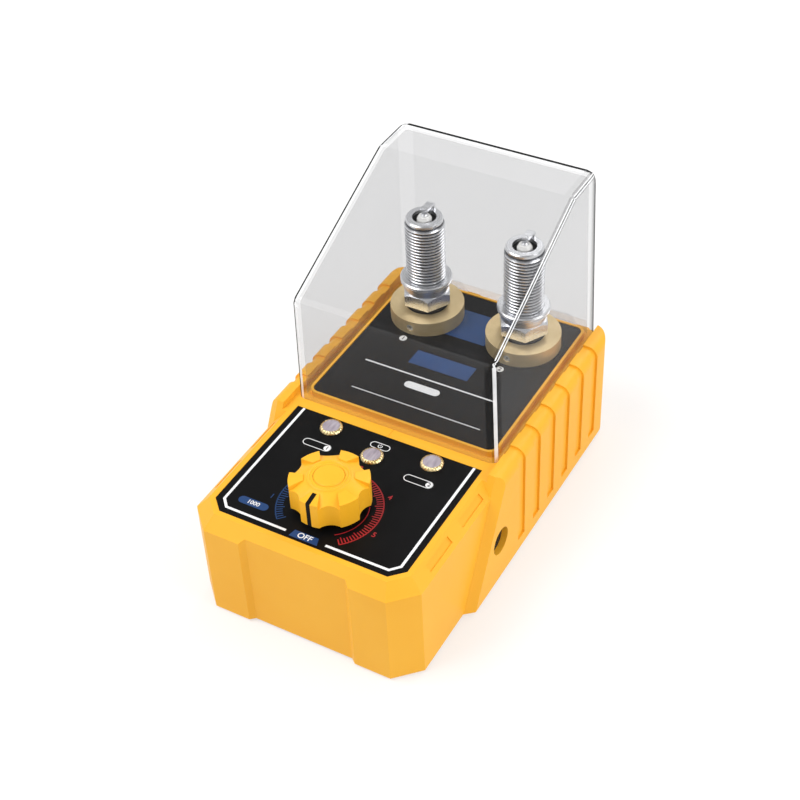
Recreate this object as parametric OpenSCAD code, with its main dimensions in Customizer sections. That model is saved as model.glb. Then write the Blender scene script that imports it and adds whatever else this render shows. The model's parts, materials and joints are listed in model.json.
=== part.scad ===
// Bench tester for spark plugs: a moulded housing with a control deck in front and two plug sockets
// behind, under a clear cover that swings up and back. Millimetres, +Z up, +Y towards the hinge.

/* [Housing] */
// Length of the housing from its front face to its rear face
body_len = 142.4; // [138:0.2:156]
// Width of the front control block
front_w = 82; // [79:0.5:85]
// Width of the rear socket block
rear_w = 88.4; // [87:0.2:96]
// Height of the control deck above the housing's underside
deck_h = 40; // [39:0.5:46]
// Thickness of the housing's walls
wall = 2.4; // [2:0.1:2.8]
// Thickness of the control deck
deck_t = 2.6; // [2.2:0.1:3.2]
// Height of the side shoulders above the deck
shoulder_rise = 2.2; // [1.6:0.1:3]
// Radius of the shoulders' outer edges
shoulder_r = 4; // [3:0.5:4.5]
// Cut across the front vertical corners
corner_cut = 8; // [6:0.5:10]
// How far the bevel round the deck runs inwards
bevel_in = 4.2; // [3.6:0.1:4.4]
// How far the bevel round the deck drops
bevel_drop = 4.5; // [3.5:0.5:6]
// Radius of the rear vertical corners
rear_corner_r = 8; // [6:0.5:9]
// Distance from the front face to the foot of the side cheeks
cheek_foot = 36.6; // [32:0.2:42]
// Distance from the front face to the top of the side cheeks
cheek_top = 59.8; // [57:0.2:63]
// Length of the slanting step in front of each cheek
cheek_step = 2.8; // [1.5:0.1:4]

/* [Housing details] */
// Width of the shallow channel in the front face
channel_w = 40; // [30:1:46]
// Depth of the channel
channel_depth = 1.5; // [0.8:0.1:1.8]
// Width of the channel's slanting sides
channel_slope = 1.8; // [1:0.1:3]
// Number of grooves in each side of the rear block
groove_count = 6; // [3:1:6]
// Distance from the front face to the middle of the first groove
groove_first = 70.2; // [68:0.1:72]
// Distance from groove to groove
groove_pitch = 11.4; // [9:0.1:11.6]
// Width of a groove
groove_w = 4.8; // [3:0.1:5.5]
// Depth of a groove
groove_depth = 0.8; // [0.5:0.1:1.2]
// Height at which the grooves stop above the housing's underside
groove_foot = 4.6; // [3:0.2:8]
// Length of the shallow slots in the side bevels
slot_len = 14; // [8:0.5:16]
// Width of the shallow slots
slot_w = 2.6; // [1.5:0.1:3]
// Depth of the shallow slots
slot_depth = 0.5; // [0.3:0.1:0.8]
// Distance from the front face to the middle of the first slot
slot_first = 23.2; // [20:0.2:26]
// Distance from slot to slot
slot_pitch = 21; // [18:0.5:22]
// Depth of the trough that the cover's foot stands in
trough_depth = 1.2; // [0.6:0.1:1.4]
// Width of the mould line across the strip in front of the cover
seam_w = 0.3; // [0.2:0.1:0.5]
// Depth of the mould line
seam_depth = 0.15; // [0.1:0.05:0.3]

/* [Cover] */
// Width of the cover at its foot
cover_w = 76.4; // [74:0.2:77]
// Height of the cover above the deck
cover_h = 67.4; // [66:0.2:80]
// Thickness of the cover's walls
cover_wall = 2.2; // [1.8:0.1:2.6]
// Distance from the housing's front face to the cover's front
cover_front = 64.2; // [63:0.2:66]
// Height of the cover's upright front above the deck
cover_front_h = 38.5; // [34:0.5:46]
// Length of the cover's flat top
cover_flat = 21.3; // [20:0.1:26]
// How much narrower the cover's top is on each side
cover_draft = 1.4; // [0.5:0.1:2]
// Radius of the cover's edges
cover_r = 4; // [3:0.5:6]
// Gap between the cover and what it stands in
cover_gap = 0.4; // [0.3:0.1:0.8]
// Gap under the cover's foot when it is shut
cover_foot_gap = 0.15; // [0.1:0.05:0.4]

/* [Cover hinge] */
// Distance of the hinge line behind the housing's rear face
hinge_offset = 3.6; // [3.4:0.1:5]
// Depth of the hinge line below the deck
hinge_drop = 7.6; // [7:0.1:10]
// Height of the hinge arms on the cover's rear wall
arm_rise = 4; // [3:0.1:6]
// Outer radius of the hinge knuckles
knuckle_r = 3; // [2.5:0.1:3.1]
// Length of a knuckle on the cover
knuckle_len = 12; // [8:0.5:16]
// Length of a hinge lug on the housing
lug_len = 4.5; // [3:0.5:6]
// Distance between the middles of the two hinges
hinge_spacing = 44; // [38:1:48]
// Diameter of a hinge pin
pin_d = 2; // [1.5:0.1:2.5]
// Running clearance round a turning or sliding round piece, on the radius
run_gap = 0.05; // [0.03:0.01:0.08]
// Clearance round a fixed round piece, on the radius
seat_gap = 0.02; // [0.01:0.01:0.05]
// Sideways gap between a knuckle and its lugs
hinge_gap = 0.3; // [0.2:0.1:0.6]

/* [Panels] */
// Height of the socket platform above the deck
platform_rise = 1.4; // [1.2:0.1:2]
// Gap between the cover's inside and the platform
platform_gap = 0.5; // [0.5:0.1:1]
// Width of the lip round the socket panel
lip_w = 0.9; // [0.8:0.1:1.6]
// Corner radius of the platform
platform_r = 3.5; // [3:0.5:5]
// Thickness of the socket panel
panel_t = 1.6; // [1.2:0.1:2]
// Depth of the socket panel's face below the lip
panel_sink = 0.3; // [0.1:0.1:0.6]
// Width of the bare margin round the control overlay
overlay_margin = 2; // [1.6:0.1:2.6]
// Distance from the overlay's rear edge to the cover's front
overlay_back = 4.4; // [4:0.1:6]
// Thickness of the control overlay
overlay_t = 0.5; // [0.3:0.1:0.8]
// Depth of the overlay's face below the deck
overlay_sink = 0.1; // [0.05:0.05:0.3]
// Gap round a panel in its recess
panel_gap = 0.1; // [0.05:0.05:0.2]

/* [Sockets] */
// Distance between the two socket axes
socket_spacing = 38; // [36:0.5:40]
// Distance from the housing's rear face to the socket axes
socket_inset = 20; // [19:0.2:22]
// Diameter of a socket's flange
flange_d = 26.4; // [24:0.2:28]
// Height of a socket's flange
flange_h = 5.5; // [5:0.1:6]
// Diameter of a socket's barrel
barrel_d = 20; // [19:0.2:21]
// Depth of the plug's seat below the flange's face
seat_depth = 4; // [3.6:0.1:4.4]
// Height of a socket's nut
socket_nut_h = 4; // [3:0.5:5]
// Size of a socket's nut across its flats
socket_nut_af = 24; // [23:0.5:25]
// Diameter of a clamp screw
clamp_d = 2.6; // [2:0.1:3]
// Outer diameter of an insulating well
well_d = 24; // [23:0.5:25]
// Thickness of a well's floor
well_floor = 2; // [1.5:0.1:2.5]

/* [Spark plugs] */
// Thread diameter of a plug
thread_d = 14; // [13.6:0.1:14.2]
// Pitch of the plug's thread
thread_pitch = 1.25; // [1:0.05:1.5]
// Length of the plug's thread from its seat to its rim
reach = 26.5; // [19:0.5:28]
// Size of the plug's hexagon across its flats
hex_af = 16; // [15.4:0.1:16.4]
// Height of the plug's hexagon
hex_h = 4.8; // [4:0.2:6]
// Height of the crimped neck under the hexagon
crimp_h = 5.9; // [5.4:0.1:6.4]
// Diameter of the collar above the hexagon
collar_d = 15.8; // [15:0.1:16]
// Height of the collar above the hexagon
collar_h = 3.2; // [2.6:0.1:4]
// Diameter of the sealing gasket
gasket_d = 18.4; // [17:0.1:20]
// Thickness of the sealing gasket
gasket_t = 2; // [1.5:0.1:2.5]
// Diameter of the plug's insulator
insulator_d = 10.2; // [9.5:0.1:10.6]
// Diameter of the opening in the plug's rim
rim_bore = 8.4; // [7.6:0.1:9]
// Length of the plug below its shell
tail_len = 31; // [30.4:0.2:32]
// Length of the plug's terminal nut
terminal_len = 8; // [7:0.2:10]
// Diameter of the plug's terminal nut
terminal_d = 6.4; // [6:0.1:7]
// Gap between the plug and what it stands on
stand_gap = 0.1; // [0.05:0.05:0.2]

/* [Contacts] */
// Diameter of a contact cup
cup_d = 9.2; // [9:0.1:10]
// Thickness of a contact cup's floor
cup_floor = 1; // [0.8:0.1:1.4]
// Diameter of a contact plunger's head
plunger_d = 6.8; // [6.4:0.1:7.2]
// Height of a contact plunger's head
plunger_head = 2; // [1.6:0.1:2.4]
// Travel of a contact plunger
plunger_travel = 1.2; // [0.8:0.1:1.4]
// Wire diameter of a contact spring
spring_wire = 0.45; // [0.35:0.05:0.5]
// Turns of a contact spring
spring_turns = 3; // [2:1:3]

/* [Knob] */
// Distance from the housing's front face to the knob's axis
knob_back = 24.3; // [22:0.1:26]
// Diameter of the knob
knob_d = 25.8; // [24:0.2:28]
// Height of the knob from its foot to its hub
knob_h = 10.4; // [10:0.1:13]
// Number of lobes on the knob
knob_lobes = 6; // [4:1:7]
// Radius of the flutes between the lobes
flute_r = 5.2; // [4:0.1:5.6]
// Depth of the flutes
flute_depth = 1.7; // [1.4:0.1:2.2]
// Diameter of the flat hub in the knob's top
hub_d = 14; // [13:0.2:15]
// Drop of a ridge's top from the hub to the knob's edge
ridge_drop = 1; // [0.4:0.1:1.6]
// Drop of the knob's top between the ridges, from the hub to the edge
knob_slope = 2.9; // [2.2:0.1:3.4]
// Distance from the knob's axis to the inner end of a ridge
ridge_start = 8; // [7.8:0.1:8.2]
// Width of a ridge at its inner end
ridge_in = 2.8; // [2.2:0.1:4]
// Width of a ridge at the knob's edge
ridge_out = 6.9; // [5:0.1:8]
// Diameter of the cap in the knob's top
knob_cap_d = 10; // [9:0.2:11]
// Gap under the knob
knob_gap = 2.7; // [2.2:0.1:3.4]
// Diameter of the knob's shaft
shaft_d = 6; // [5.6:0.1:6.4]
// Width of the pointer line
pointer_w = 1.5; // [0.8:0.1:1.8]
// Distance from the knob's axis to the inner end of the pointer line
pointer_start = 8.4; // [8.3:0.1:10]
// Depth of the pointer's groove
pointer_depth = 0.5; // [0.3:0.1:0.8]
// Diameter of the potentiometer
pot_d = 16; // [14:0.5:18]
// Height of the potentiometer
pot_h = 9; // [8:0.5:11]
// Diameter of the potentiometer's bush
bush_d = 7; // [6.8:0.1:8]

/* [Indicators] */
// Distance between the left and right indicators
led_spacing = 38; // [34:0.5:42]
// Distance from the overlay's rear edge to the outer indicators
led_back = 4.4; // [4.2:0.1:6]
// Distance from the overlay's rear edge to the middle indicator
power_back = 10.3; // [9:0.1:11]
// Diameter of an indicator lens
lens_d = 7.4; // [6:0.1:8]
// Height of an indicator lens above the overlay
lens_h = 1; // [0.6:0.1:1.6]
// Width of the slanting rim of a lens
lens_bevel = 0.8; // [0.4:0.1:1.2]
// Diameter of a lens stem and of the diode under it
diode_d = 5; // [4:0.1:5.4]

/* [Power inlet] */
// Distance from the front face to the inlet's axis
inlet_back = 54.8; // [53:0.2:57]
// Height of the inlet's axis above the housing's underside
inlet_h = 16.5; // [15:0.2:19]
// Diameter of the inlet hole in the housing
inlet_d = 10; // [9:0.1:11]
// Thickness of the housing round the inlet hole
inlet_wall = 2.2; // [2:0.1:3]
// Diameter of the inlet's barrel
inlet_barrel_d = 6.4; // [6:0.1:6.6]
// Diameter of the inlet's centre pin
inlet_pin_d = 2; // [1.6:0.1:2.5]

/* [Base and boards] */
// Height that the feet stand out under the base plate
foot_h = 1; // [0.6:0.1:2]
// Diameter of a foot
foot_d = 10; // [8:0.5:12]
// Depth of the recess that holds a foot
foot_sink = 0.6; // [0.4:0.1:0.8]
// Thickness of the base plate
base_t = 3; // [2.8:0.1:3.6]
// Gap round the base plate
base_gap = 0.2; // [0.1:0.05:0.3]
// Height of the main board above the base plate
board_lift = 2.2; // [2:0.1:3]
// Thickness of the boards
board_t = 1.6; // [1.2:0.1:2]
// Gap between a board's edge and the wall beside it
board_gap = 1.6; // [1.2:0.1:2]
// Width of the control board
control_board_w = 52; // [50:0.5:54]
// Side of an ignition coil's square base
coil_w = 24; // [22:0.5:24.5]
// Height of an ignition coil
coil_h = 22; // [18:0.5:24]

/* [Hidden] */
$fn = 64;
SIDES = [["left", -1], ["right", 1]];
eps = 0.01;

// Lengths: the origin is under the middle of the whole object, hinge included
total_len = body_len + hinge_offset + knuckle_r;
front_y = -total_len / 2;
rear_y = front_y + body_len;
hinge_y = rear_y + hinge_offset;
cover_y = front_y + cover_front;
overlay_y = cover_y - overlay_back;
knob_y = front_y + knob_back;
socket_y = rear_y - socket_inset;
inlet_y = front_y + inlet_back;

// Heights
base_z = foot_h;
plate_z = base_z + base_t;
deck_z = base_z + deck_h;
ceiling_z = deck_z - deck_t;
shoulder_z = deck_z + shoulder_rise;
platform_z = deck_z + platform_rise;
panel_z = platform_z - panel_sink;
overlay_z = deck_z - overlay_sink;
hinge_z = deck_z - hinge_drop;
cover_foot_z = deck_z - trough_depth + cover_foot_gap;
board_z = plate_z + board_lift;
board_top = board_z + board_t;
control_top = ceiling_z - pot_h;
control_z = control_top - board_t;
inlet_z = base_z + inlet_h;

// Half widths
front_half = front_w / 2;
rear_half = rear_w / 2;
cover_half = cover_w / 2;
pocket_half = cover_half + cover_gap;
groove_over = rear_half - pocket_half + 0.5;
ceiling_inset = 2;
cavity_step_z = ceiling_z - deck_t;
platform_half = cover_half - cover_wall - platform_gap;
platform_front = cover_y + cover_wall + platform_gap;
platform_rear = rear_y - cover_wall - platform_gap;
cavity_rear_y = front_y + cheek_top + wall;
board_half = front_half - wall - board_gap;
diag_inset = 2 - sqrt(2);

// Sockets and plugs
socket_x = socket_spacing / 2;
seat_z = panel_z + flange_h - seat_depth;
barrel_foot = ceiling_z - socket_nut_h - 2.5;
neck_d = hex_af - 1.4;
socket_bore = neck_d + 0.8;
clamp_len = (flange_d - socket_bore) / 2 - 0.3;
tail_bore = insulator_d + 2.2;
shell_z = seat_z + stand_gap;
hex_z = shell_z + crimp_h;
collar_z = hex_z + hex_h;
thread_z = collar_z + collar_h;
rim_z = thread_z + reach;
tail_z = shell_z - tail_len;
terminal_top = tail_z + terminal_len;
nose_depth = 7;

// Contacts under the plugs
well_z = plate_z + 0.1;
well_r = well_d / 2;
cup_z = well_z + well_floor;
cup_in = plunger_d / 2 + run_gap;
tip_z = tail_z - stand_gap;
head_z = tip_z - plunger_head;
cup_top = head_z + plunger_head / 2;
spring_z = cup_z + cup_floor;
spring_len = head_z - spring_z;
link_d = 1.6;
link_z = board_top + 1.8;

// Boards
part_gap = 2;
board_front = inlet_y - 12;
board_rear = socket_y - well_r - part_gap;
coil_rear = board_rear - part_gap;
coil_front = coil_rear - coil_w;
control_reach = 15;
control_front = knob_y - control_reach;
control_rear = overlay_y - 0.5;
control_inset = 4;
control_boss_pitch = 2 * control_reach;
control_boss_x = control_board_w / 2 - 3;
control_boss_y = [control_front + control_inset, control_front + control_inset + control_boss_pitch];
hole_inset = 3.5;
board_hole_x = board_half - hole_inset;
board_hole_y = [board_front + hole_inset, board_rear - hole_inset];
base_boss_front = 13.8;
base_boss_rear = 8.6;
base_boss_x = [front_half - wall - 6, rear_half - wall - 5.8];
base_boss_y = [front_y + base_boss_front, rear_y - base_boss_rear];
boss_r = 3.4;
base_screw_d = 2.8;
base_head_d = 2 * base_screw_d;
base_head_h = 1.6;
base_head_sink = 0.2;
base_grip = 8;
board_screw_d = 2.2;
board_head_d = 2 * board_screw_d;
board_head_h = 1.5;
board_grip = 5;
screw_play = 0.6;
foot_x = front_half - wall - 9;
foot_front = 26;
foot_rear = 16;
foot_y = [front_y + foot_front, rear_y - foot_rear];
inlet_face = front_half - wall - board_gap;
inlet_body_len = 11;
inlet_pocket_d = inlet_d + 4;
inlet_collar = rear_half - inlet_wall - 0.1 - inlet_face;
inlet_body_w = 10;
lens_places = [[-led_spacing / 2, overlay_y - led_back], [led_spacing / 2, overlay_y - led_back],
    [0, overlay_y - power_back]];

// Parts on the main board
ribbon_y = board_front + 5;
ribbon_w = 16;
ribbon_t = 1;
connector_w = ribbon_w + 4;
connector_t = 4;
capacitor_d = 10;
capacitor_h = 15;
capacitor_x = [-capacitor_d - part_gap, part_gap / 2];
capacitor_y = (board_front + coil_front) / 2;
sink_front = board_front + 10;
sink_len = (coil_front - sink_front) * 2 / 3;
sink_h = 16;
sink_t = 2;
sink_x = -board_half + 8;
fin_count = 5;
fin_len = 4;
fin_t = 1.6;
fin_pitch = (sink_len - fin_t) / (fin_count - 1);
transistor_w = sink_len / 2 - 1;
transistor_t = 4.4;
transistor_h = 8;
lead_h = 4;

// Knob
knob_z = overlay_z + knob_gap;
hub_z = knob_z + knob_h;
knob_r = knob_d / 2;
nut_recess_d = 13;
washer_t = 0.5;
pot_nut_h = 2;
bush_top = overlay_z + washer_t + pot_nut_h + 0.2;
nut_recess_top = max(bush_top, knob_z) + 0.6;
knob_cap_t = 1.6;
knob_cap_rise = 0.3;
shaft_top = hub_z - knob_cap_t - 1.4;
pot_wall = 1;

YELLOW = "#fbb326";
BLACK = "#202022";
BRASS = "#d8b878";
STEEL = "#b9bcc2";

// Helpers

// Extrudes an outline drawn in x and z along y, half to each side
module along_y(length) rotate([90, 0, 0]) linear_extrude(length, center = true) children();

// Extrudes an outline drawn in y and z along x, half to each side
module along_x(length) rotate([90, 0, 90]) linear_extrude(length, center = true) children();

// Cylinder that lies on the hinge line, half to each side
module hinge_rod(d, length) translate([0, hinge_y, hinge_z]) rotate([0, 90, 0])
    cylinder(d = d, h = length, center = true);

// Repeats its children on the left and on the right
module both_sides() {
    children();
    mirror([1, 0, 0]) children();
}

// Upright cylinder between two heights
module post(d, z0, z1) translate([0, 0, z0]) cylinder(d = d, h = z1 - z0);

// Upright hexagonal prism between two heights
module hex_post(af, z0, z1) translate([0, 0, z0]) cylinder(d = af / cos(30), h = z1 - z0, $fn = 6);

// Outline of the front block: straight sides and cut front corners
module front_plan(inset, rear) {
    half = front_half - inset;
    front = front_y + inset;
    cut = corner_cut - inset * diag_inset;
    polygon([[-half, front + cut], [-half + cut, front], [half - cut, front], [half, front + cut],
        [half, rear], [-half, rear]]);
}

// Rectangle between two y values, with its rear corners rounded
module rear_plan(half, front, rear, r) {
    translate([-half, front]) square([2 * half, rear - front - r]);
    translate([-half + r, front]) square([2 * (half - r), rear - front]);
    for (s = [-1, 1]) translate([s * (half - r), rear - r]) circle(r);
}

// Rectangle between two y values, with all its corners rounded
module round_plan(half, front, rear, r) {
    translate([-half + r, front]) square([2 * (half - r), rear - front]);
    translate([-half, front + r]) square([2 * half, rear - front - 2 * r]);
    for (x = [-half + r, half - r], y = [front + r, rear - r]) translate([x, y]) circle(r);
}

// Cross-section of the rear block with rounded shoulders, set in by an inset
module shoulder_section(inset) {
    half = rear_half - inset;
    top = shoulder_z - inset;
    r = shoulder_r - inset;
    translate([-half, base_z]) square([2 * half, top - r - base_z]);
    translate([-half + r, base_z]) square([2 * (half - r), top - base_z]);
    for (s = [-1, 1]) translate([s * (half - r), top - r]) circle(r);
}

// Outline of the space inside the housing, seen from below
module cavity_plan(inset) {
    front_plan(wall + inset, cavity_rear_y + wall);
    rear_plan(rear_half - wall - inset, cavity_rear_y + inset, rear_y - wall - inset,
        rear_corner_r - wall - inset);
}

// Housing

// Front block with its bevelled deck
module front_block() {
    hull() {
        translate([0, 0, base_z]) linear_extrude(deck_h - bevel_drop) front_plan(0, cover_y);
        translate([0, 0, deck_z - eps]) linear_extrude(eps) front_plan(bevel_in, cover_y);
    }
}

// Side view of the rear block, with its slanting front moved forwards by a shift
module rear_side(shift) {
    polygon([[front_y + cheek_foot - shift, base_z], [front_y + cheek_top - shift, shoulder_z],
        [rear_y, shoulder_z], [rear_y, base_z]]);
}

// Rear block with slanting cheeks, rounded shoulders and rounded rear corners
module rear_block() {
    intersection() {
        hull() {
            along_x(rear_w) rear_side(0);
            along_x(front_w) rear_side(cheek_step);
        }
        translate([0, 0, base_z]) linear_extrude(shoulder_z - base_z)
            rear_plan(rear_half, front_y, rear_y, rear_corner_r);
        translate([0, (front_y + rear_y) / 2, 0]) along_y(body_len) shoulder_section(0);
    }
}

// Grooves that climb each side of the rear block and cross its shoulder
module side_grooves() {
    for (i = [0 : groove_count - 1])
        translate([0, front_y + groove_first + i * groove_pitch, 0]) along_y(groove_w)
            difference() {
                both_sides() translate([rear_half - groove_over, base_z + groove_foot])
                    square([groove_over + 1, deck_h]);
                shoulder_section(groove_depth);
            }
}

// Shallow channel down the middle of the front face
module front_channel() {
    half = channel_w / 2;
    inner = half - channel_slope;
    translate([0, 0, base_z - 1]) linear_extrude(deck_h)
        polygon([[-half, front_y - eps], [-inner, front_y + channel_depth],
            [inner, front_y + channel_depth], [half, front_y - eps]]);
}

// Shallow slots in the side bevels
module bevel_slots() {
    tilt = atan(bevel_in / bevel_drop);
    both_sides() for (i = [0, 1])
        translate([front_half - bevel_in / 2, front_y + slot_first + i * slot_pitch,
            deck_z - bevel_drop / 2])
            rotate([0, -tilt, 0]) cube([2 * slot_depth, slot_len, slot_w], center = true);
}

// Raised platform that carries the socket panel
module platform() {
    translate([0, 0, ceiling_z]) linear_extrude(platform_z - ceiling_z)
        round_plan(platform_half, platform_front, platform_rear, platform_r);
}

// Hinge lugs on the rear face, one on each side of each knuckle
module hinge_lugs() {
    step = knuckle_len / 2 + hinge_gap + lug_len / 2;
    for (x = [-hinge_spacing / 2, hinge_spacing / 2], s = [-1, 1]) translate([x + s * step, 0, 0]) {
        hinge_rod(2 * knuckle_r, lug_len);
        along_x(lug_len) polygon([[rear_y - wall / 2, hinge_z - 3 * knuckle_r],
            [rear_y - wall / 2, hinge_z + knuckle_r], [hinge_y, hinge_z + knuckle_r],
            [hinge_y + knuckle_r * 0.6, hinge_z - knuckle_r * 0.8], [rear_y, hinge_z - 3 * knuckle_r]]);
    }
}

// Places of the base screws
module at_base_bosses() {
    for (i = [0, 1], s = [-1, 1]) translate([s * base_boss_x[i], base_boss_y[i], 0]) children();
}

// Places of the control board's screws
module at_control_bosses() {
    for (y = control_boss_y, s = [-1, 1]) translate([s * control_boss_x, y, 0]) children();
}

// Places of the main board's screws
module at_board_holes() {
    for (y = board_hole_y, s = [-1, 1]) translate([s * board_hole_x, y, 0]) children();
}

// Places of the three lenses
module at_lenses() {
    for (p = lens_places) translate([p[0], p[1], 0]) children();
}

// Places of the two sockets
module at_sockets() {
    for (s = [-1, 1]) translate([s * socket_x, socket_y, 0]) children();
}

// Solid shape of the housing, with its pocket for the cover
module housing_shell() {
    difference() {
        union() {
            front_block();
            rear_block();
        }
        translate([-pocket_half, front_y + cheek_foot, deck_z])
            cube([2 * pocket_half, body_len, shoulder_rise + 1]);
        translate([0, 0, deck_z - trough_depth]) linear_extrude(trough_depth + 1)
            round_plan(pocket_half, cover_y - cover_gap, rear_y + socket_inset, cover_r + cover_gap);
        translate([0, 0, base_z - 1]) linear_extrude(cavity_step_z - base_z + 1) cavity_plan(0);
        translate([0, 0, cavity_step_z - eps]) linear_extrude(ceiling_z - cavity_step_z + eps)
            cavity_plan(ceiling_inset);
        side_grooves();
        front_channel();
        bevel_slots();
    }
    platform();
    hinge_lugs();
    at_base_bosses() post(2 * boss_r, plate_z, ceiling_z + eps);
    at_control_bosses() post(5.6, control_top, ceiling_z + eps);
}

module upper_housing() color(YELLOW) difference() {
    housing_shell();
    translate([0, 0, overlay_z - overlay_t]) linear_extrude(5)
        front_plan(bevel_in + overlay_margin - panel_gap, overlay_y + panel_gap);
    translate([0, 0, panel_z - panel_t]) linear_extrude(5)
        round_plan(platform_half - lip_w, platform_front + lip_w, platform_rear - lip_w, platform_r - lip_w);
    at_sockets() post(barrel_d + 0.4, ceiling_z - 1, platform_z + 1);
    translate([0, knob_y, 0]) post(bush_d + 0.2, ceiling_z - 1, deck_z + 1);
    at_lenses() post(diode_d + 2 * panel_gap, ceiling_z - 1, deck_z + 1);
    at_base_bosses() post(base_screw_d + 2 * seat_gap, plate_z - 1, plate_z + base_grip + 1);
    at_control_bosses() post(board_screw_d + 2 * seat_gap, control_top - 1, control_top + board_grip + 1);
    translate([front_half - wall - 1, inlet_y, inlet_z]) rotate([0, 90, 0]) {
        cylinder(d = inlet_d, h = rear_half);
        cylinder(d = inlet_pocket_d, h = rear_half - inlet_wall - front_half + wall + 1);
    }
    translate([-seam_w / 2, overlay_y, deck_z - seam_depth]) cube([seam_w, overlay_back - cover_gap, 1]);
    hinge_rod(pin_d + 2 * seat_gap, rear_w);
}

module base_plate() color("#2b2b2d") difference() {
    union() {
        translate([0, 0, base_z]) linear_extrude(base_t) cavity_plan(base_gap);
        at_board_holes() post(5.2, plate_z - eps, board_z);
    }
    at_base_bosses() {
        post(base_screw_d + screw_play, base_z - 1, plate_z + 1);
        post(base_head_d + screw_play, base_z - 1, base_z + base_head_sink + base_head_h);
    }
    at_board_holes() post(board_screw_d + 2 * seat_gap, plate_z - 1, board_z + 1);
    for (y = foot_y, s = [-1, 1]) translate([s * foot_x, y, 0])
        post(foot_d + 2 * panel_gap, base_z - 1, base_z + foot_sink);
}

module base_screws() color(STEEL) at_base_bosses() {
    post(base_head_d, base_z + base_head_sink, base_z + base_head_sink + base_head_h);
    post(base_screw_d, base_z + base_head_sink + base_head_h - eps, plate_z + base_grip);
}

module rubber_feet() color("#1c1c1c") for (y = foot_y, s = [-1, 1]) translate([s * foot_x, y, 0])
    rotate_extrude() polygon([[0, 0], [foot_d / 2 - 0.6, 0], [foot_d / 2, 0.5],
        [foot_d / 2, base_z + foot_sink], [0, base_z + foot_sink]]);

// Panels

module control_overlay() color(BLACK) difference() {
    translate([0, 0, overlay_z - overlay_t]) linear_extrude(overlay_t)
        front_plan(bevel_in + overlay_margin, overlay_y);
    translate([0, knob_y, 0]) post(bush_d + 0.4, overlay_z - 2, overlay_z + 1);
    at_lenses() post(diode_d + 2 * panel_gap, overlay_z - 2, overlay_z + 1);
}

module socket_panel() color(BLACK) difference() {
    translate([0, 0, panel_z - panel_t]) linear_extrude(panel_t)
        round_plan(platform_half - lip_w - panel_gap, platform_front + lip_w + panel_gap,
            platform_rear - lip_w - panel_gap, platform_r - lip_w - panel_gap);
    at_sockets() post(barrel_d + 0.4, panel_z - 3, panel_z + 1);
}

// Cover

// Closed form of the cover, with its edges rounded by a radius about fixed centres
module cover_form(r, foot_z) {
    top = deck_z + cover_h - cover_r;
    half = cover_half - cover_r;
    narrow = half - cover_draft;
    front = cover_y + cover_r;
    rear = rear_y - cover_r;
    waist = half - cover_draft * cover_front_h / cover_h;
    top_front = rear - cover_draft - cover_flat + 2 * cover_r;
    hull() {
        for (s = [-1, 1]) {
            for (y = [front, rear]) translate([s * half, y, foot_z]) cylinder(r = r, h = eps, $fn = 32);
            translate([s * waist, front, deck_z + cover_front_h]) sphere(r, $fn = 32);
            for (y = [top_front, rear - cover_draft]) translate([s * narrow, y, top]) sphere(r, $fn = 32);
        }
    }
}

// Knuckles of the cover and the arms that join them to its rear wall
module cover_knuckles() {
    for (x = [-hinge_spacing / 2, hinge_spacing / 2]) translate([x, 0, 0]) {
        hinge_rod(2 * knuckle_r, knuckle_len);
        along_x(knuckle_len) polygon([[rear_y - cover_wall / 2, cover_foot_z],
            [rear_y - cover_wall / 2, cover_foot_z + arm_rise], [rear_y, cover_foot_z + arm_rise],
            [hinge_y + knuckle_r * 0.8, hinge_z + knuckle_r * 0.6], [hinge_y, hinge_z],
            [rear_y + hinge_gap, hinge_z], [rear_y + hinge_gap, cover_foot_z]]);
    }
}

module cover() color([0.85, 0.88, 0.9, 0.35]) difference() {
    union() {
        difference() {
            cover_form(cover_r, cover_foot_z);
            cover_form(cover_r - cover_wall, cover_foot_z - 1);
        }
        cover_knuckles();
    }
    hinge_rod(pin_d + 2 * run_gap, rear_w);
}

module hinge_pins() color(STEEL) for (x = [-hinge_spacing / 2, hinge_spacing / 2])
    translate([x, 0, 0]) hinge_rod(pin_d, knuckle_len + 2 * (hinge_gap + lug_len));

// Knob and potentiometer

// Height of a ridge's top at a distance from the knob's axis
function ridge_z(r) = hub_z - ridge_drop * (r - hub_d / 2) / (knob_r - hub_d / 2);

// Round form of the knob: a flat hub and a slope from it down to the edge
module knob_round(drop) rotate_extrude()
    polygon([[0, knob_z], [knob_r, knob_z], [knob_r, hub_z - drop], [hub_d / 2, hub_z], [0, hub_z]]);

// Line along the top of one ridge and down its side
module pointer_line(depth, gap) {
    sink = depth - gap;
    floor_r = knob_r - sink;
    head_r = pointer_start + gap;
    translate([0, knob_y, 0]) intersection() {
        along_x(pointer_w - 2 * gap) polygon([[-head_r, hub_z], [-head_r, ridge_z(head_r) - sink],
            [-floor_r, ridge_z(floor_r) - sink], [-floor_r, knob_z + gap], [-knob_r - 1, knob_z + gap],
            [-knob_r - 1, hub_z]]);
        knob_round(ridge_drop);
    }
}

// Ridges that rise above the slope, one on each lobe
module knob_ridges() intersection() {
    knob_round(ridge_drop);
    for (i = [0 : knob_lobes - 1]) rotate(-90 + i * 360 / knob_lobes) translate([0, 0, knob_z])
        linear_extrude(knob_h) polygon([[ridge_start, -ridge_in / 2], [knob_r, -ridge_out / 2],
            [knob_r + 1, -ridge_out / 2], [knob_r + 1, ridge_out / 2], [knob_r, ridge_out / 2],
            [ridge_start, ridge_in / 2]]);
}

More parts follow.
